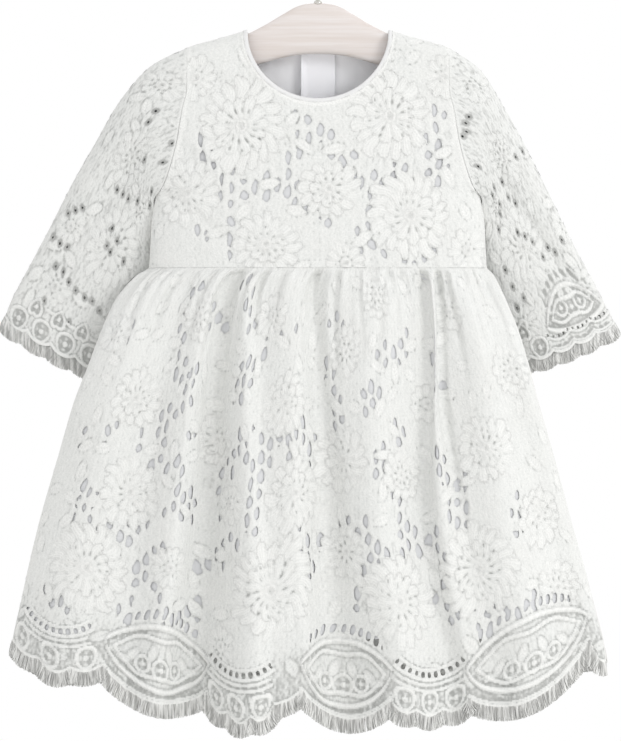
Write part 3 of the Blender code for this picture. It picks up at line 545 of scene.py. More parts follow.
def woven_finish(name, colour, other, pitch, roughness, strength):
    """Plain-woven cotton: two crossing sets of threads, and faint cloudy creases from washing."""
    made, tree, shader = start_finish(name, Roughness=roughness, Sheen_Weight=0.1)
    parts = add_node(tree, "ShaderNodeSeparateXYZ", links=cloth_uv(tree, pitch, pitch)).outputs
    waves = {}
    for socket, axis in enumerate("XY"):
        turn = add_node(
            tree, "ShaderNodeMath", {"operation": "MULTIPLY"}, {1: 2 * math.pi}, {0: parts[axis]}
        )
        wave = add_node(tree, "ShaderNodeMath", {"operation": "SINE"}, links={0: turn.outputs[0]})
        waves[socket] = wave.outputs[0]
    weave = add_node(tree, "ShaderNodeMath", {"operation": "MULTIPLY"}, links=waves)
    cloud = add_node(
        tree, "ShaderNodeTexNoise", values={"Scale": 1.0, "Detail": 2.0}, links=cloth_uv(tree, 34.0, 60.0)
    )
    mix = add_node(
        tree, "ShaderNodeMix", {"data_type": "RGBA"}, {"A": linear(colour), "B": linear(other)},
        {"Factor": cloud.outputs["Fac"]},
    )
    tree.links.new(mix.outputs["Result"], shader.inputs["Base Color"])
    bump = add_node(
        tree, "ShaderNodeBump", values={"Strength": strength, "Distance": 0.0002},
        links={"Height": weave.outputs[0]},
    )
    tree.links.new(bump.outputs[0], shader.inputs["Normal"])
    return made


def mottled_finish(name, repeats, noise, dark, light, relief=None, **values):
    """A finish shaded by a noise in the piece's own coordinates: its repeats in a metre along each axis,
    its settings, its dark and light with their places, and the strength and depth of its relief."""
    made, tree, shader = start_finish(name, **values)
    place = add_node(tree, "ShaderNodeTexCoord")
    spread = add_node(
        tree, "ShaderNodeMapping", values={"Scale": repeats}, links={"Vector": place.outputs["Object"]}
    )
    grain = add_node(
        tree, "ShaderNodeTexNoise", values={"Scale": 1.0, **noise}, links={"Vector": spread.outputs[0]}
    )
    shade = add_node(tree, "ShaderNodeValToRGB", links={"Fac": grain.outputs["Fac"]})
    set_shades(shade, dark, light)
    tree.links.new(shade.outputs["Color"], shader.inputs["Base Color"])
    if relief:
        strength, depth = relief
        bump = add_node(
            tree, "ShaderNodeBump", values={"Strength": strength, "Distance": depth},
            links={"Height": grain.outputs["Fac"]},
        )
        tree.links.new(bump.outputs[0], shader.inputs["Normal"])
    return made


def thread_finish():
    """Twisted cotton sewing thread: matt. Its twist of 0.6 mm is drawn at 1 mm so that it shows."""
    return mottled_finish(
        "twisted_cotton_thread", (1000.0, 1000.0, 1000.0), {"Detail": 2.0}, (0.0, "dcdcd8"), (1.0, "f4f4f1"),
        (0.4, 0.0002), Roughness=0.85, Sheen_Weight=0.1,
    )


def fringe_finish():
    """Loose eyelash yarn, 2 mm across and 17 mm along a tone: white, with a grey mottle of painted shade
    that stands for the shade between the threads.
    """
    return mottled_finish(
        "loose_cotton_yarn_with_painted_shade", (520.0, 520.0, 60.0), {"Detail": 2.0}, (0.4, "b2b2b0"), (0.62, "e6e6e4"),
        Roughness=0.9,
    )


def wood_finish():
    """White-washed beech under satin lacquer: pinkish cream with faint grain, whose growth rings are
    about 3 mm apart across the bar and run for 80 mm along it."""
    return mottled_finish(
        "white_washed_beech", (12.0, 300.0, 340.0), {"Detail": 4.0, "Roughness": 0.6}, (0.3, "cfc5bf"),
        (0.7, "dcd6d4"), (0.12, 0.0003), Roughness=0.42, IOR=1.5, Coat_Weight=0.15, Coat_Roughness=0.3,
    )


def button_finish():
    """Polished polyester shirt button: milky white with a faint pearl cloud of 4 mm."""
    return mottled_finish(
        "pearl_polyester", (260.0, 260.0, 260.0), {"Detail": 3.0, "Distortion": 1.5}, (0.0, "dfdfda"),
        (1.0, "f6f6f2"), Roughness=0.2, IOR=1.54, Coat_Weight=0.3,
    )


def wire_finish():
    """Nickel-plated drawn steel wire: bright, with fine scratches of about 1 mm."""
    made, tree, shader = start_finish("nickel_plated_wire", Metallic=1.0, Base_Color=linear("cfcdc8"))
    place = add_node(tree, "ShaderNodeTexCoord")
    fine = add_node(
        tree, "ShaderNodeTexNoise", values={"Scale": 900.0, "Detail": 3.0},
        links={"Vector": place.outputs["Object"]},
    )
    rough = add_node(
        tree, "ShaderNodeMapRange", values={"To Min": 0.18, "To Max": 0.34},
        links={"Value": fine.outputs["Fac"]},
    )
    tree.links.new(rough.outputs["Result"], shader.inputs["Roughness"])
    return made


LACE = lace_finish()
# Lawn and tape have threads about 0.3 mm apart, which are drawn at 0.8 to 0.9 mm so that they show.
LINING = woven_finish("cotton_lawn", "f9f9fc", "fefeff", 0.9, 0.8, 0.3)
# The same lawn, painted greyer with the shade that falls on it under the lace.
LINING_PAINTED_SHADE = woven_finish("cotton_lawn_with_painted_shade", "cfd0d2", "d5d6d8", 0.9, 0.8, 0.3)
BINDING = woven_finish("cotton_bias_tape", "dcdcdc", "e2e2e2", 0.8, 0.75, 0.35)
PLACKET = woven_finish("cotton_lawn_placket", "fafaff", "fdfdff", 0.9, 0.75, 0.3)
THREAD = thread_finish()
FRINGE = fringe_finish()
WOOD = wood_finish()
NICKEL = wire_finish()
PEARL = button_finish()


# ---- meshes ------------------------------------------------------------------------------------


def march(cover, *fields):
    """Triangles of the part of a grid where cover is above 0, and each field at their corners."""
    rows, columns = cover.shape
    node = np.arange(rows * columns).reshape(rows, columns)
    a, b, c, d = node[:-1, :-1], node[:-1, 1:], node[1:, 1:], node[1:, :-1]
    even = (np.add.outer(np.arange(rows - 1), np.arange(columns - 1)) % 2 == 0)[..., None]
    first = np.where(even, np.stack([a, b, c], -1), np.stack([a, b, d], -1))
    second = np.where(even, np.stack([a, c, d], -1), np.stack([b, c, d], -1))
    triangles = np.concatenate([first.reshape(-1, 3), second.reshape(-1, 3)])
    level = cover.ravel()
    # No crossing lies so close to a corner of the grid that it leaves a sliver.
    least = min(0.1 * np.median(np.abs(level)), 0.12)
    level = np.where(np.abs(level) < least, np.copysign(least, level), level)
    inside = level[triangles] > 0
    count = inside.sum(axis=1)
    kept = [triangles[count == 3]]
    crossings = []
    offset = rows * columns
    for odd_is_in in (True, False):
        chosen = count == (1 if odd_is_in else 2)
        corner = np.argmax(inside[chosen] == odd_is_in, axis=1)
        turned = triangles[chosen][np.arange(chosen.sum())[:, None], (corner[:, None] + np.arange(3)) % 3]
        ends = [np.sort(turned[:, [0, k]], axis=1) for k in (1, 2)]
        keys = [e[:, 0] * offset + e[:, 1] for e in ends]
        crossings.append((odd_is_in, turned, keys))
    every = np.unique(np.concatenate([k for _, _, keys in crossings for k in keys]))
    low, high = every // offset, every % offset
    share = (level[low] / (level[low] - level[high]))[:, None]
    for odd_is_in, turned, keys in crossings:
        one, two = (offset + np.searchsorted(every, k) for k in keys)
        if odd_is_in:
            kept.append(np.stack([turned[:, 0], one, two], axis=1))
        else:
            kept.append(np.stack([one, turned[:, 1], turned[:, 2]], axis=1))
            kept.append(np.stack([one, turned[:, 2], two], axis=1))
    kept = np.concatenate(kept)
    used, faces = np.unique(kept, return_inverse=True)
    out = []
    for field in fields:
        flat = field.reshape(rows * columns, -1)
        cut = flat[low] + (flat[high] - flat[low]) * share
        out.append(np.concatenate([flat, cut])[used])
    return faces.reshape(-1, 3), out


def put(name, data):
    """A new object in the scene."""
    made = bpy.data.objects.new(name, data)
    bpy.context.scene.collection.objects.link(made)
    return made


def new_piece(name, points, faces, finish):
    """A mesh object from points in millimetres, shaded smooth."""
    data = bpy.data.meshes.new(name)
    data.from_pydata((np.asarray(points) * MM).tolist(), [], [list(map(int, f)) for f in faces])
    data.shade_smooth()
    data.materials.append(finish)
    return put(name, data)


def point_outwards(piece):
    """Turns the faces of a closed shell outwards."""
    work = bmesh.new()
    work.from_mesh(piece.data)
    bmesh.ops.recalc_face_normals(work, faces=work.faces)
    work.to_mesh(piece.data)
    work.free()


def give_uv(piece, flat):
    """The UV map `flat`: each corner's place on the flat cloth, in metres."""
    data = piece.data
    layer = data.uv_layers.new(name="flat")
    corner = np.zeros(len(data.loops), int)
    data.loops.foreach_get("vertex_index", corner)
    layer.data.foreach_set("uv", (flat[corner] * MM).astype(np.float32).ravel())


def flat_area(flat, faces):
    """Area of the flat cloth under triangles, in square metres."""
    a, b, c = (flat[faces[:, k]] for k in range(3))
    cross = (b - a)[:, 0] * (c - a)[:, 1] - (b - a)[:, 1] * (c - a)[:, 0]
    return float(np.abs(cross).sum() / 2 * MM * MM)


def cloth_piece(name, cloth, finish, cover=None, lace=None):
    """The piece of cloth where cover is above 0, as a thin shell that faces outwards."""
    if cover is None:
        cover = np.ones_like(cloth.u)
    fields = [cloth.points, cloth.normals, np.stack([cloth.u, cloth.v], axis=-1)]
    if lace is not None:
        fields += [lace.dense_and_painted_shade, lace.rib]
    faces, (points, normals, flat, *worked) = march(cover, *fields)
    a, b, c = (points[faces[:, k]] for k in range(3))
    outward = (np.cross(b - a, c - a) * normals[faces[:, 0]]).sum()
    if outward < 0:
        faces = faces[:, ::-1]
    piece = new_piece(name, points, faces, finish)
    give_uv(piece, flat)
    if worked:
        mark = piece.data.attributes.new("dense_and_painted_shade", "FLOAT", "POINT")
        mark.data.foreach_set("value", worked[0][:, 0].astype(np.float32))
        mark = piece.data.attributes.new("rib", "FLOAT_VECTOR", "POINT")
        mark.data.foreach_set("vector", worked[1].astype(np.float32).ravel())
    piece["flat_area"] = flat_area(flat, faces)
    return piece


# ---- lace patterns on flat cloth ---------------------------------------------------------------

CHANCE_SIZE = (97, 89)
CHANCE = np.random.default_rng(23).random(CHANCE_SIZE)


def chance(column, row, layer):
    """A fixed number from 0 to 1 for each cell of a repeat."""
    column, row = (np.asarray(place).astype(int) for place in (column, row))
    return CHANCE[(column + 17 * layer) % CHANCE_SIZE[0], (row + 31 * layer) % CHANCE_SIZE[1]]


def ribs_along(place, pitch):
    """Ribs of stitches a pitch apart: a direction and how many go once round it."""
    turn = place * 2 * math.pi / (pitch * 8)
    return np.stack([np.cos(turn), np.sin(turn), np.full(np.shape(turn), 8.0)], axis=-1)


def ribs_round(angle, count):
    """Ribs of stitches that run out from a middle."""
    return np.stack([np.cos(angle), np.sin(angle), np.full(np.shape(angle), float(count))], axis=-1)


class Lace:
    """Thread work on flat cloth: how far inside it each place is, how high and how closely worked, with its
    painted shade.
    """

    def __init__(self, cloth, seed, openings, gap_share=1.0, soft=0.38):
        u, v = self.u, self.v = cloth.u, cloth.v
        # The net wanders by a few millimetres, and each of its cells has a luck of its own.
        warp_u = u + 1.8 * np.sin(v / 17 + 0.6 * np.sin(u / 31) + seed) + 0.8 * np.sin(u / 9 + v / 13)
        warp_v = v + 2.4 * np.sin(u / 21 + seed) + 1.2 * np.sin(u / 7.3 - v / 29)
        column = np.round(warp_u / NET_WIDE)
        shift = NET_TALL / 2 * (column % 2) + 3.2 * (chance(column, 0, seed + 3) - 0.5)
        row = np.round((warp_v - shift) / NET_TALL)
        luck, other, third = (chance(column, row, seed + 5 * k) for k in range(3))
        x = warp_u - column * NET_WIDE - 1.5 * (other - 0.5) + 0.35 * np.sin(v / 1.7 + 9 * third)
        y = warp_v - shift - row * NET_TALL - 2.0 * (third - 0.5)
        # How far the ground is opened is judged at each cell's middle, so that no gap is cut in part.
        at_u, at_v = u - x, v - y
        opened = np.zeros(u.shape)
        for u0, v0, u1, v1, half in openings:
            run_u, run_v = u1 - u0, v1 - v0
            t = np.clip(((at_u - u0) * run_u + (at_v - v0) * run_v) / max(run_u**2 + run_v**2, 1.0), 0, 1)
            off = np.hypot(at_u - u0 - t * run_u, at_v - v0 - t * run_v)
            opened = np.maximum(opened, 1.15 * hill(off, 1.15 * half + 2.3))
        cloud = np.sin(at_u / 23 + seed) + np.sin(at_v / 31 - at_u / 57) + 0.8 * np.sin((at_u + at_v) / 13)
        open_share = np.clip(opened + 0.05 * cloud, 0, 1)
        open_here = (luck > 0.97 - 0.95 * open_share) & (opened > 0.1)
        # A gap is a leaning oval with blunt ends.
        size = (0.5 + 0.55 * other) * gap_share
        tall = GAP_TALL / 2 * (0.55 + 0.45 * third)
        lean = 1 + 0.7 * (other - 0.5) * y / tall
        narrow = GAP_WIDE / 2 * size * lean * (1 - np.clip(np.abs(y) / tall, 0, 1) ** 2.5)
        gap = np.maximum(np.abs(x) - narrow, (np.abs(y) - tall) * 0.6)
        self.cover = np.where(open_here, gap, 1.4)
        # Closed cells keep a soft hollow, and a fine diamond mesh fills the ground between them; the
        # hollows, the mesh's hollows and the rims of the gaps are painted darker with shade.
        cords = 0.5 + 0.5 * np.cos(2 * math.pi * warp_u / NET_WIDE * 2)
        sunk = smooth(-gap, -0.9, 1.1) * ~open_here * (0.45 + 0.55 * third) * np.clip(soft + opened, 0, 1)
        one, two = (math.pi * (warp_u / FINE_WIDE + turn * warp_v / FINE_TALL) for turn in (-1, 1))
        mesh = smooth(np.abs(np.sin(one) * np.sin(two)), 0.25, 0.85) * (0.6 + 0.4 * other) * (1 - sunk)
        high = NET_HIGH * np.sqrt(np.clip(self.cover / 1.1, 0, 1))
        self.relief = high + 0.1 * cords - 0.4 * sunk - 0.22 * mesh
        rim = hill(np.clip(self.cover, 0, FAR), 0.9)
        self.dense_and_painted_shade = 0.56 + 0.14 * cords - 0.3 * sunk - FINE_PAINTED_SHADE * mesh - 0.22 * rim
        self.rib = np.zeros((*u.shape, 3))

    def work(self, inside, relief, dense_and_painted_shade, rib=None):
        """Works a motif over what is there; inside is the distance in from its edge."""
        self.cover = np.maximum(self.cover, inside + CORD)
        share = smooth(inside, -CORD, CORD)
        self.relief = self.relief + (relief - self.relief) * share
        self.dense_and_painted_shade = self.dense_and_painted_shade + (dense_and_painted_shade - self.dense_and_painted_shade) * share
        if rib is not None:
            self.rib = np.where((share > 0.5)[..., None], rib, self.rib)

    def close(self, inside):
        """Leaves no gap along a sewn edge."""
        self.cover = np.maximum(self.cover, inside + CORD)

    def cut(self, outside, where=True):
        """Opens holes; outside is the distance from their edges, below 0 inside them."""
        self.cover = np.where(where, np.minimum(self.cover, outside), self.cover)

    def cord(self, off, wide, high, where=True):
        """A raised cord with a painted shadow line along both sides; off is the distance from its middle."""
        here = np.where(where, 1.0, 0.0)
        shape = np.sqrt(np.clip(1 - (2 * off / wide) ** 2, 0, 1)) * here
        beside = hill(np.abs(off) - 0.5 * wide - 0.7, 0.8) * here
        self.dense_and_painted_shade = np.maximum(self.dense_and_painted_shade - 0.3 * beside, shape)
        self.cover = np.where(where, np.maximum(self.cover, wide / 2 - np.abs(off)), self.cover)
        self.relief = np.maximum(self.relief, high * shape)

    def sink(self, outside, where=True):
        """Presses hollows into the work and paints them with the shade that real holes would have from what
        is behind them.
        """
        deep = (1 - smooth(outside, -0.7, 0.7)) * np.where(where, 1.0, 0.0)
        self.relief = self.relief - 0.6 * deep
        self.dense_and_painted_shade = self.dense_and_painted_shade * (1 - 0.9 * deep)

    def row(self, off, place, pitch, wide, tall, where=True, through=True):
        """A row of oblong holes, cut through or, when through is False, pressed in with painted shade; off
        is the distance from its line and place runs along it.
        """
        number = np.round(place / pitch)
        size = 0.72 + 0.33 * chance(number, 3, 2)
        step = 2 * np.abs(place - pitch * number) / (wide * size)
        away = 2 * np.abs(off) / (tall * size)
        outside = ((step**2.6 + away**2.6) ** (1 / 2.6) - 1) * min(wide, tall) / 2
        (self.cut if through else self.sink)(outside, where)

    def spots(self, places, wide):
        """Single oval holes with soft, sunken rims painted darker with shade, each leaning by some degrees.
        """
        for at_u, at_v, lean in places:
            du, dv = self.u - at_u, self.v - at_v
            x = du * math.cos(lean) - dv * math.sin(lean)
            y = du * math.sin(lean) + dv * math.cos(lean)
            outside = np.hypot(x, 0.72 * y) - wide / 2
            self.sink(outside - 0.2)
            self.cut(outside + 1.5)

    def finished(self, seed):
        """Height of the thread work, rounded off at the edges of its holes, with its loose threads."""
        loose = np.random.default_rng(seed).random(self.u.shape) - 0.5
        loose[1:] += 0.6 * loose[:-1]
        self.dense_and_painted_shade = np.clip(self.dense_and_painted_shade + 0.2 * loose, 0, 1)
        return (self.relief + 0.14 * loose) * (0.3 + 0.7 * np.sqrt(np.clip(self.cover, 0, 1)))


def petals_of(lace, r, angle, radius, count, seed, raised):
    """One round of petals: rounded tips, a groove between two and ribs along each, with painted shade in the
    grooves and in rings just inside and just outside each petal's raised rim.
    """
    place = angle / (2 * math.pi) * count
    number = np.round(place)
    off = 2 * (place - number)
    size = 0.9 + 0.16 * chance(number % count, seed, 3)
    edge = radius * size * (1 - 0.24 * np.abs(off) ** 3)
    length = np.clip(r / edge, 0, 1)
    half = math.pi * np.maximum(r, 1.0) / count
    groove = hill((1 - np.abs(off)) * half, 0.85) * smooth(length, 0.3, 0.55)
    crown = (1 - off**4) * np.sin(math.pi * np.clip(length, 0.1, 0.93)) ** 0.6
    ribs = ribs_round(angle, count * max(2, round(2 * math.pi * radius / count / 2.6)))
    lace.work(edge - r, raised + 0.5 * crown - 0.3 * groove, 0.66 + 0.08 * crown - 0.17 * groove, ribs)
    rim = hill(edge - r - 0.5, 0.9)
    lace.relief = np.maximum(lace.relief, (raised + 0.6) * rim)
    lace.dense_and_painted_shade = np.maximum(lace.dense_and_painted_shade, 0.76 * rim)
    inner = hill(edge - r - 2.6, 0.9) * smooth(r, 0.4 * radius, 0.5 * radius)
    outer = hill(edge - r + 1.4, 1.0)
    lace.dense_and_painted_shade = lace.dense_and_painted_shade - 0.1 * inner - 0.08 * outer


def flower(lace, at_u, at_v, radius, count, seed):
    """A daisy-like flower: rounds of petals, recessed slits painted darker with shade round a raised ring,
    and painted shade for a hole in the middle of it.
    """
    du, dv = lace.u - at_u, lace.v - at_v
    r = np.hypot(du, dv) * (1 + 0.05 * np.sin(2 * np.arctan2(dv, du) + seed))
    angle = np.arctan2(du, dv) + seed + 0.07 * np.sin(r / 4.3 + seed) + 0.05 * np.sin(du / 6 + dv / 5)
    petals_of(lace, r, angle, radius, count, seed, 0.3)
    if radius > 17:
        petals_of(lace, r, angle + 0.5, 0.62 * radius, max(count * 2 // 3, 7), seed + 1, 0.65)
    ring = 1.9 + 0.045 * radius
    slits = max(8, int(radius / 2.3))
    for layer, (start, end) in enumerate(((0.18, 0.36), (0.38, 0.52))):
        turn = (angle + 0.4 * layer) / (2 * math.pi) * slits
        number = np.round(turn)
        step = (turn - number) * 2 * math.pi * r / slits
        middle, long = (start + end) / 2 * radius + ring / 2, (end - start) / 2 * radius
        lucky = chance(number % slits, seed, 5 + layer) < (0.85, 0.5)[layer]
        shape = 1 - np.clip(np.abs(r - middle) / long, 0, 1) ** 2
        sunk = shape * hill(step, 1.05) * lucky
        lace.dense_and_painted_shade = lace.dense_and_painted_shade - 0.65 * sunk
        lace.relief = lace.relief - 0.6 * sunk
    lace.work(ring + 1.3 - r, 0.6, 1.0)
    lace.cord(r - ring, 2.0, 1.4, r < ring + 3)
    # Painted shade for the hole in the middle.
    lace.dense_and_painted_shade = lace.dense_and_painted_shade - 0.7 * hill(r, 1.1)


def leaf(lace, at_u, at_v, angle, long, wide):
    """A pointed leaf with a midrib groove and slanting veins, with painted shade in its groove and round its
    outline.
    """
    du, dv = lace.u - at_u, lace.v - at_v
    x = du * math.cos(angle) + dv * math.sin(angle)
    y = -du * math.sin(angle) + dv * math.cos(angle)
    half = wide / 2 * np.clip(1 - (2 * x / long) ** 2, 0, 1) ** 0.8
    near = np.abs(x) < long / 2
    inside = np.where(near, half - np.abs(y), -np.hypot(np.abs(x) - long / 2, y))
    midrib = hill(y, 0.8)
    lace.work(inside, 0.6 - 0.35 * midrib, 0.86 - 0.3 * midrib, ribs_along(x + 0.8 * np.abs(y), 2.6))
    outer = hill(inside + 1.3, 0.9) * near
    lace.dense_and_painted_shade = lace.dense_and_painted_shade - 0.25 * outer


def ladder(lace, at_u, at_v, radius, spread, pitch, wide, tall, through=True):
    """An arc of small holes between two cords, round a place above it; spread is in degrees, and where
    through is False the holes are pressed in with painted shade.
    """
    du, dv = lace.u - at_u, lace.v - at_v
    r, angle = np.hypot(du, dv), np.degrees(np.arctan2(du, dv))
    where = np.abs(angle) < spread
    near = where & (np.abs(r - radius) < tall / 2 + 3)
    lace.work(np.where(near, tall / 2 + 1.6 - np.abs(r - radius), -FAR), 0.4, 0.6)
    lace.row(r - radius, np.radians(angle) * radius, pitch, wide, tall, near, through)
    for edge in (radius - tall / 2 - 1.0, radius + tall / 2 + 1.0):
        lace.cord(r - edge, 1.7, 1.1, near)


def sprigs(lace, taken, seed):
    """Leaves scattered over the free ground between the flowers; taken holds what is there."""
    lows, highs = (lace.u.min(), lace.v.min()), (lace.u.max(), lace.v.max())
    spacing = SPRIG_SPACING
    for row in range(int((highs[1] - lows[1]) / spacing) + 1):
        for column in range(int((highs[0] - lows[0]) / spacing) + 1):
            luck = [float(chance(column, row, seed + k)) for k in range(4)]
            at_u = lows[0] + (column + 0.25 + 0.5 * luck[0]) * spacing
            at_v = lows[1] + (row + 0.25 + 0.5 * luck[1]) * spacing
            free = all(math.hypot(at_u - u, at_v - v) > radius + 3 for u, v, radius, _ in taken)
            if free and luck[2] < 0.62:
                leaf(lace, at_u, at_v, math.pi * luck[3], 13 + 6 * luck[0], 5 + 2 * luck[1])


# ---- bodice ------------------------------------------------------------------------------------


def hanger_top(across):
    """How far down the cloth's top is where it lies over the hanger."""
    return along(HANGER, "across", "top", np.abs(across)) - CLOTH_ABOVE_HANGER


def past_shoulder(across, down):
    """0 along the shoulder, 1 where the cloth has turned over it."""
    return np.clip((down - hanger_top(across)) / ROUND_OVER, 0, 1)


def bodice_depth(across, down):
    """How far the bodice stands out from its middle plane."""
    full = along(BODICE, "down", "edge", down) + along(BODICE, "down", "spare", down)
    share = np.clip(np.abs(across) / full, 0, 1)
    depth = along(BODICE, "down", "depth", down) * (1 - share**ROUNDNESS) ** (1 / ROUNDNESS)
    return depth * np.sqrt(1 - (1 - past_shoulder(across, down)) ** 2)


def on_bodice(across, down, side):
    """Places on the bodice's outside, and its normals from the slope of its depth."""
    step = 0.05
    depth = bodice_depth(across, down)
    slope_across = bodice_depth(across + step, down) - bodice_depth(across - step, down)
    slope_down = bodice_depth(across, down + step) - depth
    faces = np.full(np.shape(depth), side * step)
    points = np.stack([across, side * (depth + SEAM / 2), -down], axis=-1)
    return points, unit(np.stack([-slope_across / 2, faces, slope_down], axis=-1))


def bodice_cloth(side, neck_depth, first, cell):
    """Front (side -1) or back (side 1) of the bodice; first is -1 for a whole panel, 0 for half."""
    share = np.linspace(first, 1, int((1 - first) * 122 / cell) + 1)
    size = np.abs(share)
    neck_part = NECK_HALF / SHOULDER_END
    inner = neck_part * np.sin(math.pi / 2 * np.clip(size / NECK_SHARE, 0, 1))
    outer = neck_part + (1 - neck_part) * np.clip((size - NECK_SHARE) / (1 - NECK_SHARE), 0, 1)
    top_share = np.sign(share) * np.where(size < NECK_SHARE, inner, outer)
    # Rows lie closer together near the neck.
    fall = (np.linspace(0, 1, int(165 / cell)) ** 1.3)[:, None]
    bottom = WAIST - SEAM / 2
    edge = along(BODICE, "down", "edge", ARMHOLE_TOP + fall * (bottom - ARMHOLE_TOP))
    across = (top_share + (share - top_share) * fall**COLUMN_FAN) * edge
    start = np.abs(top_share) * SHOULDER_END
    neck = np.sqrt(np.clip(1 - (start / NECK_HALF) ** 2, 0, 1))
    top = hanger_top(np.maximum(start, NECK_HALF)) + neck_depth * neck
    down = top + fall * (bottom - top)
    if first == 0:
        across = across + SEAM / 2 * (1 - share)
    # Laid flat, cloth that turns over the shoulder lies higher, and the round sides lie wider.
    v = down - TURNED_OVER * (1 - past_shoulder(across, down)) ** 2
    u = across * (1 + 0.06 * (across / 120) ** 4)
    return Cloth(*on_bodice(across, down, side), u, v)


def mirrored(cloth):
    """The same cloth on the other side of the gown."""
    flip = np.array([-1, 1, 1])
    parts = [(cloth.points * flip)[:, ::-1], (cloth.normals * flip)[:, ::-1]]
    return Cloth(*parts, -cloth.u[:, ::-1], cloth.v[:, ::-1])


def pulls(cloth, rows):
    """Soft troughs and ridges: each row is where it starts and ends, its width and its height."""
    out = np.zeros_like(cloth.u)
    for x0, down0, x1, down1, wide, high in rows:
        x, z = cloth.points[..., 0], -cloth.points[..., 2]
        dx, dz = x1 - x0, down1 - down0
        size = math.hypot(dx, dz)
        t = ((x - x0) * dx + (z - down0) * dz) / size**2
        off = ((x - x0) * dz - (z - down0) * dx) / size
        bow = 0.04 * size * np.sin(math.pi * np.clip(t, 0, 1))
        fade = smooth(t, -0.15, 0.2) * (1 - smooth(t, 0.75, 1.15))
        out += high * hill(off - bow, wide) * fade
    return out


BODICE_PULLS = (
    (-112, 196, -60, 236, 5, -1.3),
    (112, 196, 66, 238, 6, -1.2),
    (-96, 150, -70, 190, 6, 0.9),
    (97, 150, 74, 186, 6, 0.8),
    (-40, 236, -38, 249, 3, -0.7),
    (36, 232, 38, 249, 3, -0.7),
    (-88, 104, -60, 128, 6, -0.8),
    (88, 104, 62, 126, 6, -0.8),
)
BODICE_LINING_CREASES = (
    (-30, 92, -34, 112, 1.6, 1.2),
    (-34, 101, -25, 96, 1.4, 0.9),
    (20, 96, 44, 118, 4.0, -1.0),
    (-60, 120, -20, 160, 6.0, 1.0),
    (30, 130, 60, 200, 7.0, -1.2),
)


def dress_lace(cloth, lace, seed):
    """The cloth raised by its thread work."""
    return cloth.pushed(lace.finished(seed) - LACE_SINK)


def flat_place(cloth, across, down):
    """Where a place on the hanging gown lies on the flat cloth."""
    off = (cloth.points[..., 0] - across) ** 2 + (cloth.points[..., 2] + down) ** 2
    at = np.unravel_index(np.argmin(off), off.shape)
    return float(cloth.u[at]), float(cloth.v[at])


def flat_gaps(cloth, lines, flip=1.0):
    """Where the lines of gaps lie on the flat cloth, with their half width."""
    return [
        (*flat_place(cloth, flip * x0, down0), *flat_place(cloth, flip * x1, down1), half)
        for x0, down0, x1, down1, half in lines
    ]


def plant(lace, cloth, flowers, flip, seed):
    """Works the flowers of a table in their places, with leaves scattered between them."""
    placed = [
        (*flat_place(cloth, flip * across, down), radius, int(petals))
        for across, down, radius, petals in zip(*flowers.values())
    ]
    sprigs(lace, placed, seed)
    for k, (at_u, at_v, radius, count) in enumerate(placed):
        flower(lace, at_u, at_v, radius, count, seed + k)


def from_sides(points):
    """Distances from the left and the right edge of a panel."""
    return run(points, 1), run(points[:, ::-1], 1)[:, ::-1]


def seam_edges(lace, distances):
    """A sewn edge along the sides of a panel, raised by the seam allowance under it."""
    for off in distances:
        lace.work(SEAM_RIDGE + 1.2 - off, 0.75, 0.8)
        lace.relief = np.maximum(lace.relief, hill(off - SEAM_RIDGE, 1.0))


def build_bodice():
    """The lace of the front and of the two backs, by their solids' names."""
    front = bodice_cloth(-1, NECK_FRONT, -1, BODICE_CELL)
    front = front.pushed(pulls(front, BODICE_PULLS))
    back = bodice_cloth(1, NECK_BACK, 0, BACK_CELL)
    made = {}
    for name, cloth, seed in (
        ("bodice_front", front, 1),
        ("bodice_back_right", back, 4),
        ("bodice_back_left", mirrored(back), 6),
    ):
        lace = Lace(cloth, seed, flat_gaps(cloth, BODICE_GAPS), 0.92)
        plant(lace, cloth, BODICE_FLOWERS, 1.0, seed)
        seam_edges(lace, from_sides(cloth.points))
        lace.close(SEAM_CLOSED - run(cloth.points[::-1], 0)[::-1])
        lace.work(2.6 - run(cloth.points, 0), 0.6, 0.9)
        made[name] = cloth_piece(name + "_lace", dress_lace(cloth, lace, seed), LACE, lace.cover, lace)
    return made


def build_bodice_lining():
    """The plain linings of the front and of the two backs, by their solids' names; the front's lawn is
    painted greyer with the shade that falls on it under the lace.
    """
    front = bodice_cloth(-1, NECK_FRONT, -1, LINING_CELL)
    front = front.pushed(np.minimum(pulls(front, BODICE_PULLS), 0.0))
    back = bodice_cloth(1, NECK_BACK, 0, LINING_CELL)
    made = {}
    for name, cloth, finish in (
        ("bodice_lining_front", front, LINING_PAINTED_SHADE),
        ("bodice_lining_back_right", back, LINING),
        ("bodice_lining_back_left", mirrored(back), LINING),
    ):
        creases = 0.5 * np.clip(pulls(cloth, BODICE_LINING_CREASES), -1, 0.6)
        made[name] = cloth_piece(name + "_cotton", cloth.pushed(-LINING_BEHIND + creases), finish)
    return made


# ---- skirt -------------------------------------------------------------------------------------


def fold_values(folds, kind, line, down):
    """A fold table's waist, knee and hem values at any line and height, on smooth curves."""
    index = np.clip(np.floor(line), 0, len(folds["hem"]) - 2).astype(int)
    t = line - index
    t = t * t * (3 - 2 * t) if kind == "out_" else t
    waist, knee, hem = (
        folds[kind + name][index] * (1 - t) + folds[kind + name][index + 1] * t
        for name in ("waist", "knee", "hem")
    )
    bend = (KNEE - WAIST) / (HEM - WAIST)
    v = np.clip((down - WAIST) / (HEM - WAIST), 0, 1)
    at_waist = (v - bend) * (v - 1) / bend
    at_knee = v * (v - 1) / (bend * (bend - 1))
    at_hem = v * (v - bend) / (1 - bend)
    return waist * at_waist + knee * at_knee + hem * at_hem


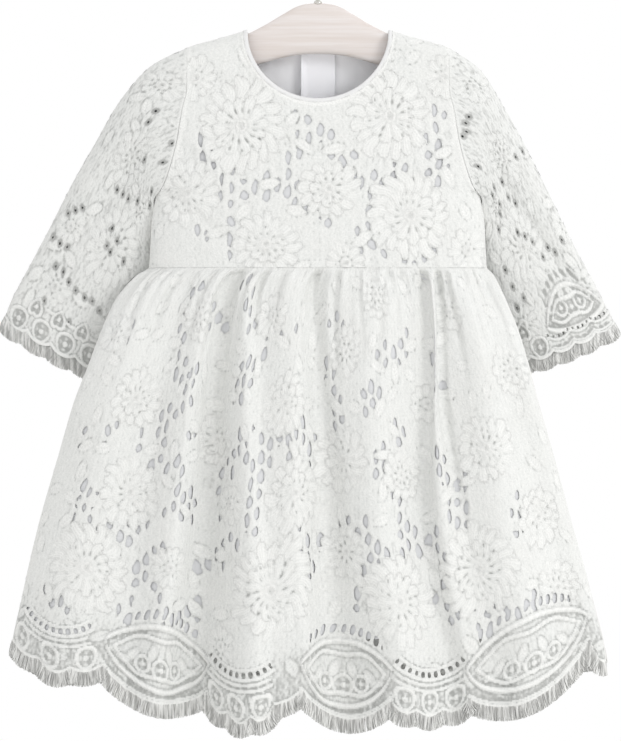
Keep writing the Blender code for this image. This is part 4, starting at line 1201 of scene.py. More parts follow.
def skirt_points(folds, side, line, down):
    """Points of a skirt panel on a fold line (which may be a fraction) at a height."""
    relative = {}
    for name in ("waist", "knee", "hem"):
        relative[name] = (folds[name] - folds[name][0]) / (folds[name][-1] - folds[name][0])
        relative["out_" + name] = folds["out_" + name]
    share = np.clip(fold_values(relative, "", line, down), 0, 1)
    left, right = (along(SKIRT, "down", edge, down) for edge in ("left", "right"))
    across = left + share * (right - left)
    off = np.abs(2 * share - 1)
    plain = along(SKIRT, "down", "depth", down) * (1 - off**ROUNDNESS) ** (1 / ROUNDNESS)
    out = plain + fold_values(relative, "out_", line, down) * smooth(down - WAIST, -1.0, WAIST_EASE)
    swing = along(SKIRT, "down", "forward", down) * off**4
    return np.stack(np.broadcast_arrays(across, side * (out + SEAM / 2) - swing, -down), axis=-1)


def scallops(hem, folds, line):
    """For fold lines: the height of the notches and of the scalloped edge."""
    across = np.interp(line, np.arange(len(folds["hem"])), folds["hem"])
    index = np.clip(np.searchsorted(hem["across"], across, side="right") - 1, 0, len(hem["across"]) - 2)
    start, end = hem["across"][index], hem["across"][index + 1]
    t = np.clip((across - start) / (end - start), 0, 1)
    level = np.interp(across, hem["across"], hem["notch"])
    arch = np.sin(np.pi * t) ** hem["point"][index]
    lobes = np.abs(np.sin(np.pi * hem["lobes"][index] * t))
    shape = np.where(hem["lobes"][index] > 1, arch + LOBE_SHARE * (lobes - arch), arch)
    return level, level + hem["drop"][index] * shape


class Skirt:
    """One panel of the skirt on a grid that is even on the flat cloth."""

    def __init__(self, folds, hem, side, cells, lowest):
        self.folds, self.hem, self.side = folds, hem, side
        step = np.linspace(0, 1, cells[1] + 1)[:, None]
        # Rows lie closer together towards the hem.
        down = WAIST - TUCK + (lowest - WAIST + TUCK) * step * (1.2 - 0.2 * step)
        line = np.linspace(0, len(folds["hem"]) - 1, 60 * (len(folds["hem"]) - 1))
        arc = run(skirt_points(folds, side, line[None, :], down), 1)
        even = np.linspace(0, 1, cells[0] + 1)
        self.line = np.array([np.interp(even, row / row[-1], line) for row in arc])
        self.down = np.broadcast_to(down, self.line.shape)
        self.wide = float(np.interp(WIDTH_AT, down[:, 0], arc[:, -1]))
        level, edge = scallops(hem, folds, self.line)
        # The edge slopes, so it is a little nearer than it is low.
        self.above_edge = (edge - self.down) * 0.9
        points = skirt_points(folds, side, self.line, self.down)
        u = np.broadcast_to((even - 0.5) * self.wide, self.line.shape)
        v = (self.down - level) * SKIRT_FLAT_LONG / (level - WAIST)
        self.cloth = Cloth(points, facing(points, side), u, v)
        self.gather()

    def gather(self):
        """Small gathers under the waist seam and the longer creases that run on from them."""
        fall = self.down - WAIST
        u = self.cloth.u
        tiny = 0.55 * np.sin(u / 1.35 + 2.4 * np.sin(u / 11)) * np.exp(-fall / 13)
        small = 1.1 * np.sin(u / 3.1 + 1.7 * np.sin(u / 17 + self.side)) * np.exp(-fall / 34)
        crease = np.zeros_like(u)
        for at, long, wide, deep in GATHERS:
            line = np.interp(at * self.side * -1, self.folds["waist"], np.arange(len(self.folds["waist"])))
            x = skirt_points(self.folds, self.side, np.array(line), self.down[:, :1])[..., 0]
            width = wide * (1 + 0.6 * fall / 100)
            off = (self.cloth.points[..., 0] - x - 3 * np.sin(fall / 40 + at)) / width
            crease -= deep * hill(off, 1.0) * (1 - smooth(fall, 0.35 * long, long))
        start = smooth(fall, 0, 5)
        tucked = 0.5 * (1 - smooth(fall, -TUCK, TUCK))
        self.cloth = self.cloth.pushed((tiny + small + crease) * start - tucked)
        self.cloth.normals = facing(self.cloth.points, self.side)


# Creases below the waist seam: where each starts across, how long it runs, its width and depth.
GATHERS = (
    (-108.0, 60, 1.8, 1.5),
    (-92.0, 95, 2.2, 1.8),
    (-74.0, 70, 1.6, 1.6),
    (-60.5, 105, 2.0, 2.0),
    (-53.0, 320, 4.2, 5.0),
    (-34.6, 74, 1.5, 2.6),
    (-22.0, 50, 1.6, 1.4),
    (-6.5, 90, 1.8, 1.7),
    (4.3, 66, 1.6, 1.5),
    (4.0, 340, 4.6, 6.0),
    (16.6, 110, 2.2, 1.8),
    (31.0, 78, 2.0, 1.5),
    (46.0, 120, 2.4, 1.8),
    (60.0, 60, 1.6, 1.3),
    (75.0, 300, 3.0, 4.2),
    (84.5, 250, 2.0, 4.0),
    (92.0, 100, 2.0, 1.8),
    (104.0, 84, 2.0, 1.6),
    (113.0, 60, 1.8, 1.3),
)


def loop(lace, x, y, radius, bars, holes, through=True):
    """A thick ring with a bead in it, held by bars over a hole."""
    r, angle = np.hypot(x, y), np.arctan2(x, y)
    near = r < radius + 2
    lace.work(np.where(near, radius + 1.0 - r, -FAR), 0.3, 0.42)
    turn = angle / (2 * math.pi) * bars
    between = (0.5 - np.abs(turn - np.round(turn))) * 2 * math.pi * r / bars
    outside = np.hypot(r - 0.55 * radius, between) - 0.24 * radius * holes
    # Where through is False the holes are pressed in and darkened with painted shade.
    (lace.cut if through else lace.sink)(outside, near)
    lace.cord(r - radius, 2.3, 1.4, near)
    lace.cord(r - 0.14 * radius, 1.8, 1.2, r < 0.4 * radius)


def fan(lace, x, above_edge, half, tip, top, low, side, holes):
    """A pointed oval panel framed by a thick cord, with leaves and a flower worked in it, a row of gaps over
    it and a corded edge under it; tip, top and low are heights on the flat cloth. The gaps over it are cut
    only where side is below 0 and are otherwise pressed in with painted shade, as are the holes inside it
    and along its edge."""
    v = lace.v
    here = np.abs(x) < half
    share = np.clip(1 - (x / half) ** 2, 0, 1)
    over = v - tip + (tip - top) * share**0.8
    under = tip + (low - tip) * share**0.6 - v
    inside = np.where(here, np.minimum(over, under) * 0.85, -FAR)
    angle = np.arctan2(x, low + 8.0 - v)
    lace.work(inside, 0.35, 0.4, ribs_round(angle, 60))
    near = here & (np.abs(x) < 0.8 * half)
    lace.row(over + 7.0, x + 0.3 * v, 7.2, 4.6 * holes, 8.0 * holes, near, side < 0)
    centre = float(np.mean(lace.u - x))
    for at, height, radius in ((0.0, 17.0, 7.0), (-0.34, 19.0, 5.8), (0.34, 19.0, 5.8)):
        loop(lace, x - at * half, v - low + height, radius, 4, 0.9 * holes, False)
    for turn in (-1, 1):
        leaf(lace, centre + turn * 0.52 * half, low - 24.0, 0.8 * turn, 14, 5.5)
        leaf(lace, centre + turn * 0.16 * half, low - 28.0, 1.2 * turn, 14, 5.5)
        leaf(lace, centre + turn * 0.68 * half, low - 20.0, -0.4 * turn, 12, 5.0)
    aside = here & (np.abs(x) > 0.3 * half) & (inside > 1)
    lace.row(inside - 4.9, x, 4.8, 3.2 * holes, 2.8 * holes, aside, False)
    lace.cord(inside - 1.6, 3.4, 1.6, here & (inside > -3))
    lace.cord(inside - 8.2 - 1.5 * np.cos(x * 7 / half), 2.3, 1.3, here & (inside > 3))
    lace.row(above_edge - 5.8, x, 6.4, 4.8, 2.3, here & (np.abs(x) < half - 5), False)
    lace.cord(above_edge - 3.4, 1.6, 1.1, here)


def hem_border(lace, skirt, side, holes):
    """The scalloped border, painted greyer with the shade of the unlined cloth: fans in the plain scallops,
    ladders and loops in the lobed ones. The outer ladders and the front's loops are pressed in with painted
    shade.
    """
    hem, above_edge = skirt.hem, skirt.above_edge
    across = np.interp(skirt.line[-1], np.arange(len(skirt.folds["hem"])), skirt.folds["hem"])
    starts = np.interp(hem["across"], across, lace.u[-1])
    middles, halves = (starts[:-1] + starts[1:]) / 2, (starts[1:] - starts[:-1]) / 2
    plain = hem["lobes"][:-1] == 1
    # Painted shade: the unlined border is greyer towards the edge.
    lace.dense_and_painted_shade = lace.dense_and_painted_shade - BORDER_PAINTED_SHADE * (1 - smooth(above_edge, 12.0, 48.0))
    for k in np.flatnonzero(plain & (halves >= LEAST_FAN)):
        low = 0.55 * hem["drop"][k]
        fan(lace, lace.u - middles[k], above_edge, halves[k] + 2, *HEM_FAN, low, side, holes)
    for k in np.flatnonzero(~plain):
        ladder(lace, middles[k], -58.0, 41.0, 43, 6.0, 3.8 * holes, 4.8 * holes)
        ladder(lace, middles[k], -58.0, 50.0, 34, 7.4, 5.2, 2.2, False)
        for lobe in (-1, 0, 1):
            x = lace.u - middles[k] - lobe * halves[k] * 2 / 3
            loop(lace, x, above_edge - 9.8, 7.0, 4, 1.0, side > 0)
    lace.work(2.4 - above_edge, 0.6, 0.7)
    lace.cord(above_edge - 1.4, 2.2, 1.25)


def build_skirt(name, folds, hem, side, cells, seed):
    """The lace of one panel of the skirt, and the panel that it is worked on."""
    skirt = Skirt(folds, hem, side, cells, float((hem["notch"] + hem["drop"]).max()))
    lace = Lace(skirt.cloth, seed, flat_gaps(skirt.cloth, SKIRT_GAPS, -side))
    plant(lace, skirt.cloth, SKIRT_FLOWERS, -side, seed)
    hem_border(lace, skirt, side, 1.0 if side < 0 else BACK_HOLES)
    seam_edges(lace, from_sides(skirt.cloth.points))
    lace.close(SEAM_CLOSED - (skirt.down - WAIST))
    raised = dress_lace(skirt.cloth, lace, seed)
    cover = np.minimum(lace.cover, skirt.above_edge)
    return cloth_piece(f"skirt_{name}_lace", raised, LACE, cover, lace), skirt


def build_skirt_lining(name, folds, hem, side):
    skirt = Skirt(folds, hem, side, SKIRT_LINING_CELLS, LINING_HEM)
    fall = (skirt.down - WAIST) / (LINING_HEM - WAIST)
    cloth = skirt.cloth.pushed(-LINING_BEHIND - 0.2 * smooth(fall, 0.0, 0.9))
    # The lining's lawn is painted greyer with the shade that falls on it under the lace.
    return cloth_piece(f"skirt_lining_{name}_cotton", cloth, LINING_PAINTED_SHADE)


def hem_roots(skirt):
    """Roots of the eyelashes along the scalloped edge, and the way that each one hangs."""
    line = np.linspace(0.0, len(skirt.folds["hem"]) - 1.0, 4000)
    _, edge = scallops(skirt.hem, skirt.folds, line)
    border, above = (skirt_points(skirt.folds, skirt.side, line, edge - back) for back in (0.0, 5.0))
    return spaced_roots(border, above)


def spaced_roots(border, above):
    """Evenly spaced places on an edge, hanging partly down the cloth and partly square to the edge."""
    place = run(border, 0)
    count = int(place[-1] / EYELASH_PITCH)
    at = (np.arange(count) + 0.5) * place[-1] / count
    roots, fall, tangent = (
        np.stack([np.interp(at, place, field[:, k]) for k in range(3)], axis=-1)
        for field in (border, border - above, np.gradient(border, axis=0))
    )
    fall, tangent = unit(fall), unit(tangent)
    square = unit(fall - (fall * tangent).sum(axis=-1, keepdims=True) * tangent)
    return roots, unit(fall + 1.3 * square)


# ---- sleeves -----------------------------------------------------------------------------------


def sleeve_rings(sections, side, share):
    """Points of every section of one half of a sleeve, from its top fold to the underarm."""
    sign = np.sign(sections["top_across"][0])
    down = ARMHOLE_TOP + share * (UNDERARM - ARMHOLE_TOP)
    edge = along(BODICE, "down", "edge", down)
    armhole_depth = side * (bodice_depth(edge, down) + SEAM / 2)
    rings = [np.stack([sign * (edge + SEAM), armhole_depth, -down], axis=-1)]
    round_part = (1 - np.abs(2 * share - 1) ** SLEEVE_ROUNDNESS) ** (1 / SLEEVE_ROUNDNESS)
    for k in range(1, len(sections["half"])):
        top_x, top_z, low_x, low_z, back, half = (sections[c][k] for c in sections)
        across = top_x + share * (low_x - top_x)
        depth = back + side * (half * round_part + SEAM / 2)
        rings.append(np.stack([across, depth, -(top_z + share * (low_z - top_z))], axis=-1))
    return np.array(rings)


def between_rings(rings, station):
    """Points on a smooth curve through the rings; past the last ring it runs straight on."""
    last = len(rings) - 1
    before = np.concatenate([2 * rings[:1] - rings[1:2], rings, 2 * rings[-1:] - rings[-2:-1]])
    i = np.clip(np.floor(station), 0, last - 1).astype(int)
    t = (station - i)[:, None, None]
    p0, p1, p2, p3 = (before[i + k] for k in range(4))
    turned, pulled = 2 * p0 - 5 * p1 + 4 * p2 - p3, 3 * p1 - p0 - 3 * p2 + p3
    curve = 0.5 * (2 * p1 + (p2 - p0) * t + turned * t**2 + pulled * t**3)
    straight = p2 + (p2 - p1) * (t - 1)
    return np.where(t > 1, straight, curve)


def cuff_station(share, last):
    """How far down the sleeve the notches of its cuff are, and its scalloped edge."""
    wave = np.abs(np.sin(np.pi * CUFF_LOBES * share))
    level = last + CUFF_BOW * np.sin(np.pi * share)
    return level, level + CUFF_DROP * wave**CUFF_LOBE_POWER


def sleeve_pulls(share, length):
    """Soft diagonal troughs that run down from the armhole, and one at the elbow."""
    out = 1.6 * np.sin(5.2 * share + length / 38) * np.sin(np.pi * share) * smooth(length, 15, 60)
    out -= 2.2 * hill(share - 0.62 + length / 420, 0.06) * smooth(length, 20, 70)
    out += 1.2 * hill(share - 0.3 + length / 700, 0.07) * smooth(length, 60, 120)
    return out


def cuff_border(lace, above_edge, on_right, side, holes):
    """The cuff's border: loops all along it, or a fan with loops beside it on the right sleeve."""
    lobe_wide = SLEEVE_WIDE / CUFF_LOBES
    loops = range(CUFF_LOBES)
    if on_right:
        fan(lace, lace.u - 1.5 * lobe_wide, above_edge, CUFF_FAN_HALF, *CUFF_FAN, 1, holes)
        near = lace.u < 3.2 * lobe_wide
        lace.row(above_edge - 12.5, lace.u, 5.0, 2.3 * holes, 2.6 * holes, near)
        lace.cord(above_edge - 10.2, 1.7, 1.1, near)
        loops = loops[3:]
    else:
        lace.cord(above_edge - 28.0 + 0.1 * lace.u, 2.2, 1.2, lace.u > 30.0)
    shift = 0.0 if side < 0 else 0.4
    for lobe in loops:
        # The loops' holes are pressed in with painted shade.
        loop(lace, lace.u - (lobe + 0.5 + shift) * lobe_wide, above_edge - 9.0, 7.4, 4, holes, False)
        loop(lace, lace.u - (lobe + 1.0 + shift) * lobe_wide, above_edge - 20.0, 5.6, 4, holes, False)
    lace.work(2.2 - above_edge, 0.7, 1.0)
    lace.cord(above_edge - 1.3, 2.0, 1.2)


def build_sleeve_half(name, sections, side, seed):
    """One half of a sleeve, and the roots of the eyelashes along its cuff."""
    on_right = sections["top_across"][0] > 0
    turn = -side if on_right else side
    last = len(sections["half"]) - 1
    share = np.linspace(0, 1, int(SLEEVE_FLAT[0] / SLEEVE_CELL))
    station = np.linspace(-0.05, last + CUFF_BOW + CUFF_DROP, int(SLEEVE_LONG / SLEEVE_CELL))
    points = between_rings(sleeve_rings(sections, side, share), station)
    length = run(points, 0)
    wide = np.broadcast_to(share, length.shape)
    # The underarm edge is tucked in behind the bodice.
    points[..., 0] += turn * side * UNDERARM_IN * smooth(share, 0.75, 1.0) * smooth(length, 4.0, 20.0)
    cloth = Cloth(points, facing(points, turn), wide * SLEEVE_WIDE, length)
    cloth = cloth.pushed(sleeve_pulls(wide, length) * np.sin(np.pi * wide) ** 0.3)
    cloth.normals = facing(cloth.points, turn)
    level_at, edge_at = (
        np.array([np.interp(at, station, column) for at, column in zip(reach, length.T)])
        for reach in cuff_station(share, last)
    )
    cloth.v = length - level_at
    above_edge = edge_at - length
    # The sleeve's closed net cells get more painted shade in their hollows.
    lace = Lace(cloth, seed, (), 0.8, 0.75)
    plant(lace, cloth, SLEEVE_FLOWERS, -1.0 if on_right else 1.0, seed)
    if side < 0:
        holes = RIGHT_SLEEVE_HOLES if on_right else LEFT_SLEEVE_HOLES
        spots = [(*flat_place(cloth, across, down), math.radians(lean)) for across, down, lean in holes]
        lace.spots(spots, SLEEVE_HOLE)
    cuff_border(lace, above_edge, on_right, side, 1.0 if side < 0 else BACK_HOLES)
    seam_edges(lace, (length, (1 - wide) * SLEEVE_WIDE))
    # The unlined sleeve's lace is painted greyer with shade.
    lace.dense_and_painted_shade = lace.dense_and_painted_shade - SLEEVE_PAINTED_SHADE
    tucked = dress_lace(cloth, lace, seed).pushed(-0.8 * (1 - smooth(length, 0.0, 3.0)))
    piece = cloth_piece(name + "_lace", tucked, LACE, np.minimum(lace.cover, above_edge), lace)
    fine = np.linspace(0, 1, 1500)
    rings = sleeve_rings(sections, side, fine)
    _, reach = cuff_station(fine, last)
    border, above = (
        rings[-1] + (rings[-1] - rings[-2]) * (reach - last - back)[:, None] for back in (0.0, 0.3)
    )
    return piece, spaced_roots(border, above)


# ---- threads and stitches, made by Geometry Nodes -------------------------------------------------


def new_tree(name, inputs):
    """A Geometry Nodes tree with named inputs (name, kind, first value), and what it is given."""
    tree = bpy.data.node_groups.new(name, "GeometryNodeTree")
    for way in ("INPUT", "OUTPUT"):
        tree.interface.new_socket("Geometry", in_out=way, socket_type="NodeSocketGeometry")
    for label, kind, value in inputs:
        socket = tree.interface.new_socket(label, in_out="INPUT", socket_type="NodeSocket" + kind)
        socket.default_value = value
    return tree, tree.nodes.new("NodeGroupInput").outputs


def end_tree(tree, placed, yarn):
    """Makes a tree's instances real, gives them their yarn and hands them out."""
    real = add_node(tree, "GeometryNodeRealizeInstances", links={"Geometry": placed.outputs[0]})
    shown = add_node(
        tree, "GeometryNodeSetMaterial", links={"Geometry": real.outputs[0], "Material": yarn}
    )
    tree.links.new(shown.outputs[0], tree.nodes.new("NodeGroupOutput").inputs[0])
    return tree


def eyelash_tree():
    """Threads that stand on the points of a mesh, each along its `hang`, thinner at the tip."""
    tree, given = new_tree(
        "eyelash_threads",
        (
            ("Thread length", "Float", EYELASH_LONG * MM),
            ("Thread width", "Float", EYELASH_WIDE * MM),
            ("Bend", "Float", 0.06),
            ("Seed", "Int", 5),
            ("Yarn", "Material", FRINGE),
        ),
    )
    long, seed = given["Thread length"], given["Seed"]
    bend = add_node(tree, "ShaderNodeMath", {"operation": "MULTIPLY"}, links={0: long, 1: given["Bend"]})
    half = add_node(tree, "ShaderNodeMath", {"operation": "MULTIPLY"}, {1: 0.5}, {0: long})
    belly = add_node(tree, "ShaderNodeCombineXYZ", links={"X": bend.outputs[0], "Z": half.outputs[0]})
    tip = add_node(tree, "ShaderNodeCombineXYZ", links={"Z": long})
    line = add_node(
        tree, "GeometryNodeCurveQuadraticBezier", values={"Resolution": 3, "Start": (0, 0, 0)},
        links={"Middle": belly.outputs[0], "End": tip.outputs[0]},
    )
    place = add_node(tree, "GeometryNodeSplineParameter")
    taper = add_node(
        tree, "ShaderNodeMapRange", values={"From Min": 0.7, "To Min": 1.0, "To Max": 0.7},
        links={"Value": place.outputs["Factor"]},
    )
    radius = add_node(
        tree, "ShaderNodeMath", {"operation": "MULTIPLY"},
        links={0: taper.outputs["Result"], 1: given["Thread width"]},
    )
    thin = add_node(
        tree, "GeometryNodeSetCurveRadius", links={"Curve": line.outputs[0], "Radius": radius.outputs[0]}
    )
    ring = add_node(tree, "GeometryNodeCurvePrimitiveCircle", values={"Resolution": 4, "Radius": 0.5})
    thread = add_node(
        tree, "GeometryNodeCurveToMesh", values={"Fill Caps": True},
        links={"Curve": thin.outputs[0], "Profile Curve": ring.outputs[0]},
    )
    if "Scale" in thread.inputs:
        tree.links.new(radius.outputs[0], thread.inputs["Scale"])
    hang = add_node(tree, "GeometryNodeInputNamedAttribute", {"data_type": "FLOAT_VECTOR"}, {"Name": "hang"})
    turn = add_node(
        tree, "FunctionNodeAlignRotationToVector", {"axis": "Z"}, links={"Vector": hang.outputs[0]}
    )
    spin = add_node(
        tree, "FunctionNodeRandomValue", {"data_type": "FLOAT_VECTOR"},
        {"Min": (-0.05, -0.05, -1.5), "Max": (0.05, 0.05, 1.5)}, {"Seed": seed},
    )
    lean = add_node(
        tree, "FunctionNodeRotateRotation", {"rotation_space": "LOCAL"},
        links={"Rotation": turn.outputs[0], "Rotate By": spin.outputs[0]},
    )
    size = add_node(
        tree, "FunctionNodeRandomValue", {"data_type": "FLOAT"}, {"Min": 0.95, "Max": 1.02}, {"Seed": seed}
    )
    placed = add_node(
        tree, "GeometryNodeInstanceOnPoints",
        links={
            "Points": given["Geometry"], "Instance": thread.outputs[0], "Rotation": lean.outputs[0],
            "Scale": next(output for output in size.outputs if output.enabled),
        },
    )
    return end_tree(tree, placed, given["Yarn"])


def stitch_tree():
    """Short stitches laid end to end along a line of edges."""
    tree, given = new_tree(
        "seam_stitches",
        (
            ("Stitch pitch", "Float", STITCH_PITCH * MM),
            ("Stitch length", "Float", STITCH_LONG * MM),
            ("Thread width", "Float", STITCH_WIDE * MM),
            ("Yarn", "Material", THREAD),
        ),
    )
    path = add_node(tree, "GeometryNodeMeshToCurve", links={"Mesh": given["Geometry"]})
    even = add_node(
        tree, "GeometryNodeResampleCurve", {"mode": "LENGTH"},
        links={"Curve": path.outputs[0], "Length": given["Stitch pitch"]},
    )
    tangent = add_node(tree, "GeometryNodeInputTangent")
    turn = add_node(
        tree, "FunctionNodeAlignRotationToVector", {"axis": "X"}, links={"Vector": tangent.outputs[0]}
    )
    bead = add_node(tree, "GeometryNodeMeshUVSphere", values={"Segments": 6, "Rings": 4, "Radius": 0.5})
    size = add_node(
        tree, "ShaderNodeCombineXYZ",
        links={"X": given["Stitch length"], "Y": given["Thread width"], "Z": given["Thread width"]},
    )
    placed = add_node(
        tree, "GeometryNodeInstanceOnPoints",
        links={
            "Points": even.outputs[0], "Instance": bead.outputs[0], "Rotation": turn.outputs[0],
            "Scale": size.outputs[0],
        },
    )
    return end_tree(tree, placed, given["Yarn"])


def grown(name, carrier, tree, finish, sizes):
    """The plain mesh that a tree makes on a carrier, which is removed; sizes sets its inputs."""
    modifier = carrier.modifiers.new("grow", "NODES")
    modifier.node_group = tree
    for item in tree.interface.items_tree:
        if item.in_out == "INPUT" and item.name in sizes:
            modifier[item.identifier] = sizes[item.name]
    bpy.context.view_layer.update()
    ready = carrier.evaluated_get(bpy.context.evaluated_depsgraph_get())
    data = bpy.data.meshes.new_from_object(ready)
    data.name = name
    data.shade_smooth()
    data.materials.clear()
    data.materials.append(finish)
    bpy.data.objects.remove(carrier, do_unlink=True)
    return put(name, data)


def carrier_of(points, edges=(), hang=None):
    """A bare mesh of points or edges for a tree to work on."""
    data = bpy.data.meshes.new("carrier")
    data.from_pydata((points * MM).tolist(), edges, [])
    if hang is not None:
        mark = data.attributes.new("hang", "FLOAT_VECTOR", "POINT")
        mark.data.foreach_set("vector", hang.astype(np.float32).ravel())
    return put("carrier", data)


def eyelashes(name, roots, hang, tree, long, seed):
    """Yarns along an edge: one at each root, and one behind each space between two of them."""
    starts = roots - EYELASH_SUNK * hang
    near = np.linalg.norm(starts[1:] - starts[:-1], axis=-1) < 3 * EYELASH_PITCH
    behind = ((starts[:-1] + starts[1:]) / 2)[near] + (0.0, EYELASH_ROWS, 0.0)
    aside = unit(((hang[:-1] + hang[1:]) / 2)[near])
    carrier = carrier_of(np.concatenate([starts, behind]), hang=np.concatenate([hang, aside]))
    sizes = {"Thread length": (long + EYELASH_SUNK) * MM, "Thread width": EYELASH_WIDE * MM, "Seed": seed}
    return grown(name, carrier, tree, FRINGE, sizes)


def stitches(name, line, tree):
    carrier = carrier_of(line, [(k, k + 1) for k in range(len(line) - 1)])
    return grown(name, carrier, tree, THREAD, {"Stitch pitch": STITCH_PITCH * MM})


# ---- binding, placket and buttons ----------------------------------------------------------------


def tube_faces(rings, sides):
    """Faces between rings of points that follow one another."""
    return [
        (i + k, i + (k + 1) % sides, i + sides + (k + 1) % sides, i + sides + k)
        for i in range(0, (rings - 1) * sides, sides)
        for k in range(sides)
    ]


def swept(name, route, frames, profile, finish):
    """A profile carried along a route; frames holds the profile's two directions at each place."""
    sides, count = len(profile), len(route)
    rings = np.stack([route + a * frames[0] + b * frames[1] for a, b in profile], axis=1)
    ends = [tuple(range(sides))[::-1], tuple(range((count - 1) * sides, count * sides))]
    piece = new_piece(name, rings.reshape(-1, 3), tube_faces(count, sides) + ends, finish)
    point_outwards(piece)
    girth = np.linspace(0, 12, sides)
    give_uv(piece, np.stack([np.repeat(run(route, 0), sides), np.tile(girth, count)], axis=-1))
    return piece


def rounded(half_wide, half_thick, sides, power=0.6):
    """A rounded oblong profile."""
    turn = np.arange(sides) * 2 * math.pi / sides
    wide, thick = (np.sign(wave) * np.abs(wave) ** power for wave in (np.cos(turn), np.sin(turn)))
    return list(zip(wide * half_wide, thick * half_thick))


def neck_path(side, neck_depth, count):
    """Points of the neck edge from left to right and the gown's normals there."""
    turn = np.linspace(-math.pi / 2, math.pi / 2, count)
    return on_bodice(NECK_HALF * np.sin(turn), hanger_top(NECK_HALF) + neck_depth * np.cos(turn), side)


def build_binding(stitch):
    """The tape round the neck, open at the centre back, and the stitches that hold it."""
    front, back, slit = neck_path(-1, NECK_FRONT, 130), neck_path(1, NECK_BACK, 120), 60
    points, normals = (
        np.concatenate([behind[: slit - 1][::-1], before[1:-1], behind[slit + 1 :][::-1]])
        for before, behind in zip(front, back)
    )
    for _ in range(4):
        normals[1:-1] = (normals[:-2] + normals[1:-1] * 2 + normals[2:]) / 4
    normals = unit(normals)
    into = unit(np.cross(np.gradient(points, axis=0), normals))
    into *= np.sign(into[len(points) // 2, 2])
    middle = points + (BINDING_WIDE / 2 - 0.2) * into - BINDING_THICK / 2 * normals
    pucker = 0.12 * np.sin(run(points, 0) / 1.9)[:, None] * normals
    profile = rounded(BINDING_WIDE / 2 + 0.2, BINDING_THICK / 2, 14)
    tape = swept("neck_binding_tape", middle + pucker, (into, normals), profile, BINDING)
    line = points + 0.5 * into + 0.05 * normals
    return tape, stitches("neck_stitches", line[2:-2], stitch)


def build_placket():
    """The folded strip inside the centre back, whose top corner curls away from the lining."""
    down = np.linspace(PLACKET_TOP, PLACKET_END, 90)[:, None]
    across, down = np.broadcast_arrays(np.linspace(-PLACKET_HALF, PLACKET_HALF, 26)[None, :], down)
    cloth = Cloth(*on_bodice(across, down, 1), across, down)
    curl = 2.2 * smooth(-across, 7.0, PLACKET_HALF) * (1 - smooth(down, 120.0, 160.0))
    wave = 0.25 * np.sin(down / 19) * np.sin(across / 6) - curl
    sheets = [cloth.pushed(-PLACKET_IN - inward + wave) for inward in (0.05, 0.95)]
    grid = np.arange(down.size).reshape(down.shape)
    quads = np.stack([grid[:-1, :-1], grid[1:, :-1], grid[1:, 1:], grid[:-1, 1:]], axis=-1).reshape(-1, 4)
    rim = np.concatenate([grid[0, :-1], grid[:-1, -1], grid[-1, :0:-1], grid[:0:-1, 0]])
    after = np.roll(rim, -1)
    faces = [*quads, *(quads + down.size)[:, ::-1], *zip(rim, after, after + down.size, rim + down.size)]
    points = np.concatenate([sheet.points.reshape(-1, 3) for sheet in sheets])
    piece = new_piece("placket_strip", points, faces, PLACKET)
    point_outwards(piece)
    give_uv(piece, np.tile(np.stack([across, down], axis=-1).reshape(-1, 2), (2, 1)))
    return piece


# The button's rim: its half width and how far out it stands, from the underside to the dish.
BUTTON_RIM = (
    (4.4, 0.0), (5.1, 0.25), (5.5, 0.9), (5.45, 1.6), (5.1, 2.1), (4.6, 2.35), (4.1, 2.25), (3.7, 1.9),
    (3.3, 1.75),
)
BUTTON_SIDES = 56
DISH_HALF = 3.35
DISH_OUT = 1.72
HOLE_FROM_MIDDLE = 1.1
HOLE_RADIUS = 0.55
BUTTON_THREAD = 0.28


def build_button(number, height):
    """A four-hole button with a rounded rim and a dished middle, and the way of the thread that holds
    it, there and back between two of the holes."""
    near = bodice_depth(BUTTON_ACROSS, height + np.array([-1.0, 1.0]))
    slope = float(near[1] - near[0]) / 2
    lift = float(bodice_depth(BUTTON_ACROSS, height)) + BUTTON_LIFT

    def placed(x, z, out):
        places = np.broadcast_arrays(BUTTON_ACROSS + x, lift + out - slope * z, z - height)
        return np.stack(places, axis=-1)

    half, out = (np.array(column)[:, None] for column in zip(*BUTTON_RIM))
    turn = np.arange(BUTTON_SIDES) * 2 * math.pi / BUTTON_SIDES
    points = placed(half * np.cos(turn), half * np.sin(turn), out).reshape(-1, 3)
    faces = [*tube_faces(len(BUTTON_RIM), BUTTON_SIDES), range(BUTTON_SIDES)]
    rim = new_piece(f"button_rim_{number}", points, faces, PEARL)
    x, z = np.meshgrid(*[np.linspace(-3.5, 3.5, 64)] * 2)
    at = (-HOLE_FROM_MIDDLE, HOLE_FROM_MIDDLE)
    holes = np.min([np.hypot(x - a, z - b) for a in at for b in at], axis=0) - HOLE_RADIUS
    top = placed(x, z, DISH_OUT)
    dish = Cloth(top, np.broadcast_to([0.0, 1.0, 0.0], top.shape), x, z)
    middle = cloth_piece(f"button_dish_{number}", dish, PEARL, np.minimum(holes, DISH_HALF - np.hypot(x, z)))
    t = np.linspace(-1, 1, 9)
    return join(f"shirt_button_{number}", [rim, middle]), [
        placed(a * t, -a * t, 1.9 + 0.35 * (1 - t**2)) for a in at
    ]


def join(name, pieces):
    """Joins pieces into one mesh object."""
    data = bpy.data.meshes.new(name)
    work = bmesh.new()
    for piece in pieces:
        work.from_mesh(piece.data)
    work.to_mesh(data)
    work.free()
    data.shade_smooth()
    data.materials.append(pieces[0].data.materials[0])
    for piece in pieces:
        bpy.data.objects.remove(piece, do_unlink=True)
    return put(name, data)


def round_line(name, line, radius, finish, sides):
    """A round thread or wire along a line of points."""
    one = unit(np.cross(unit(np.gradient(line, axis=0)), (0.0, 1.0, 0.0)))
    two = np.cross(unit(np.gradient(line, axis=0)), one)
    turn = np.arange(sides) * 2 * math.pi / sides
    radius = np.broadcast_to(radius, len(line))[:, None]
    return swept(name, line, (one * radius, two * radius), list(zip(np.cos(turn), np.sin(turn))), finish)


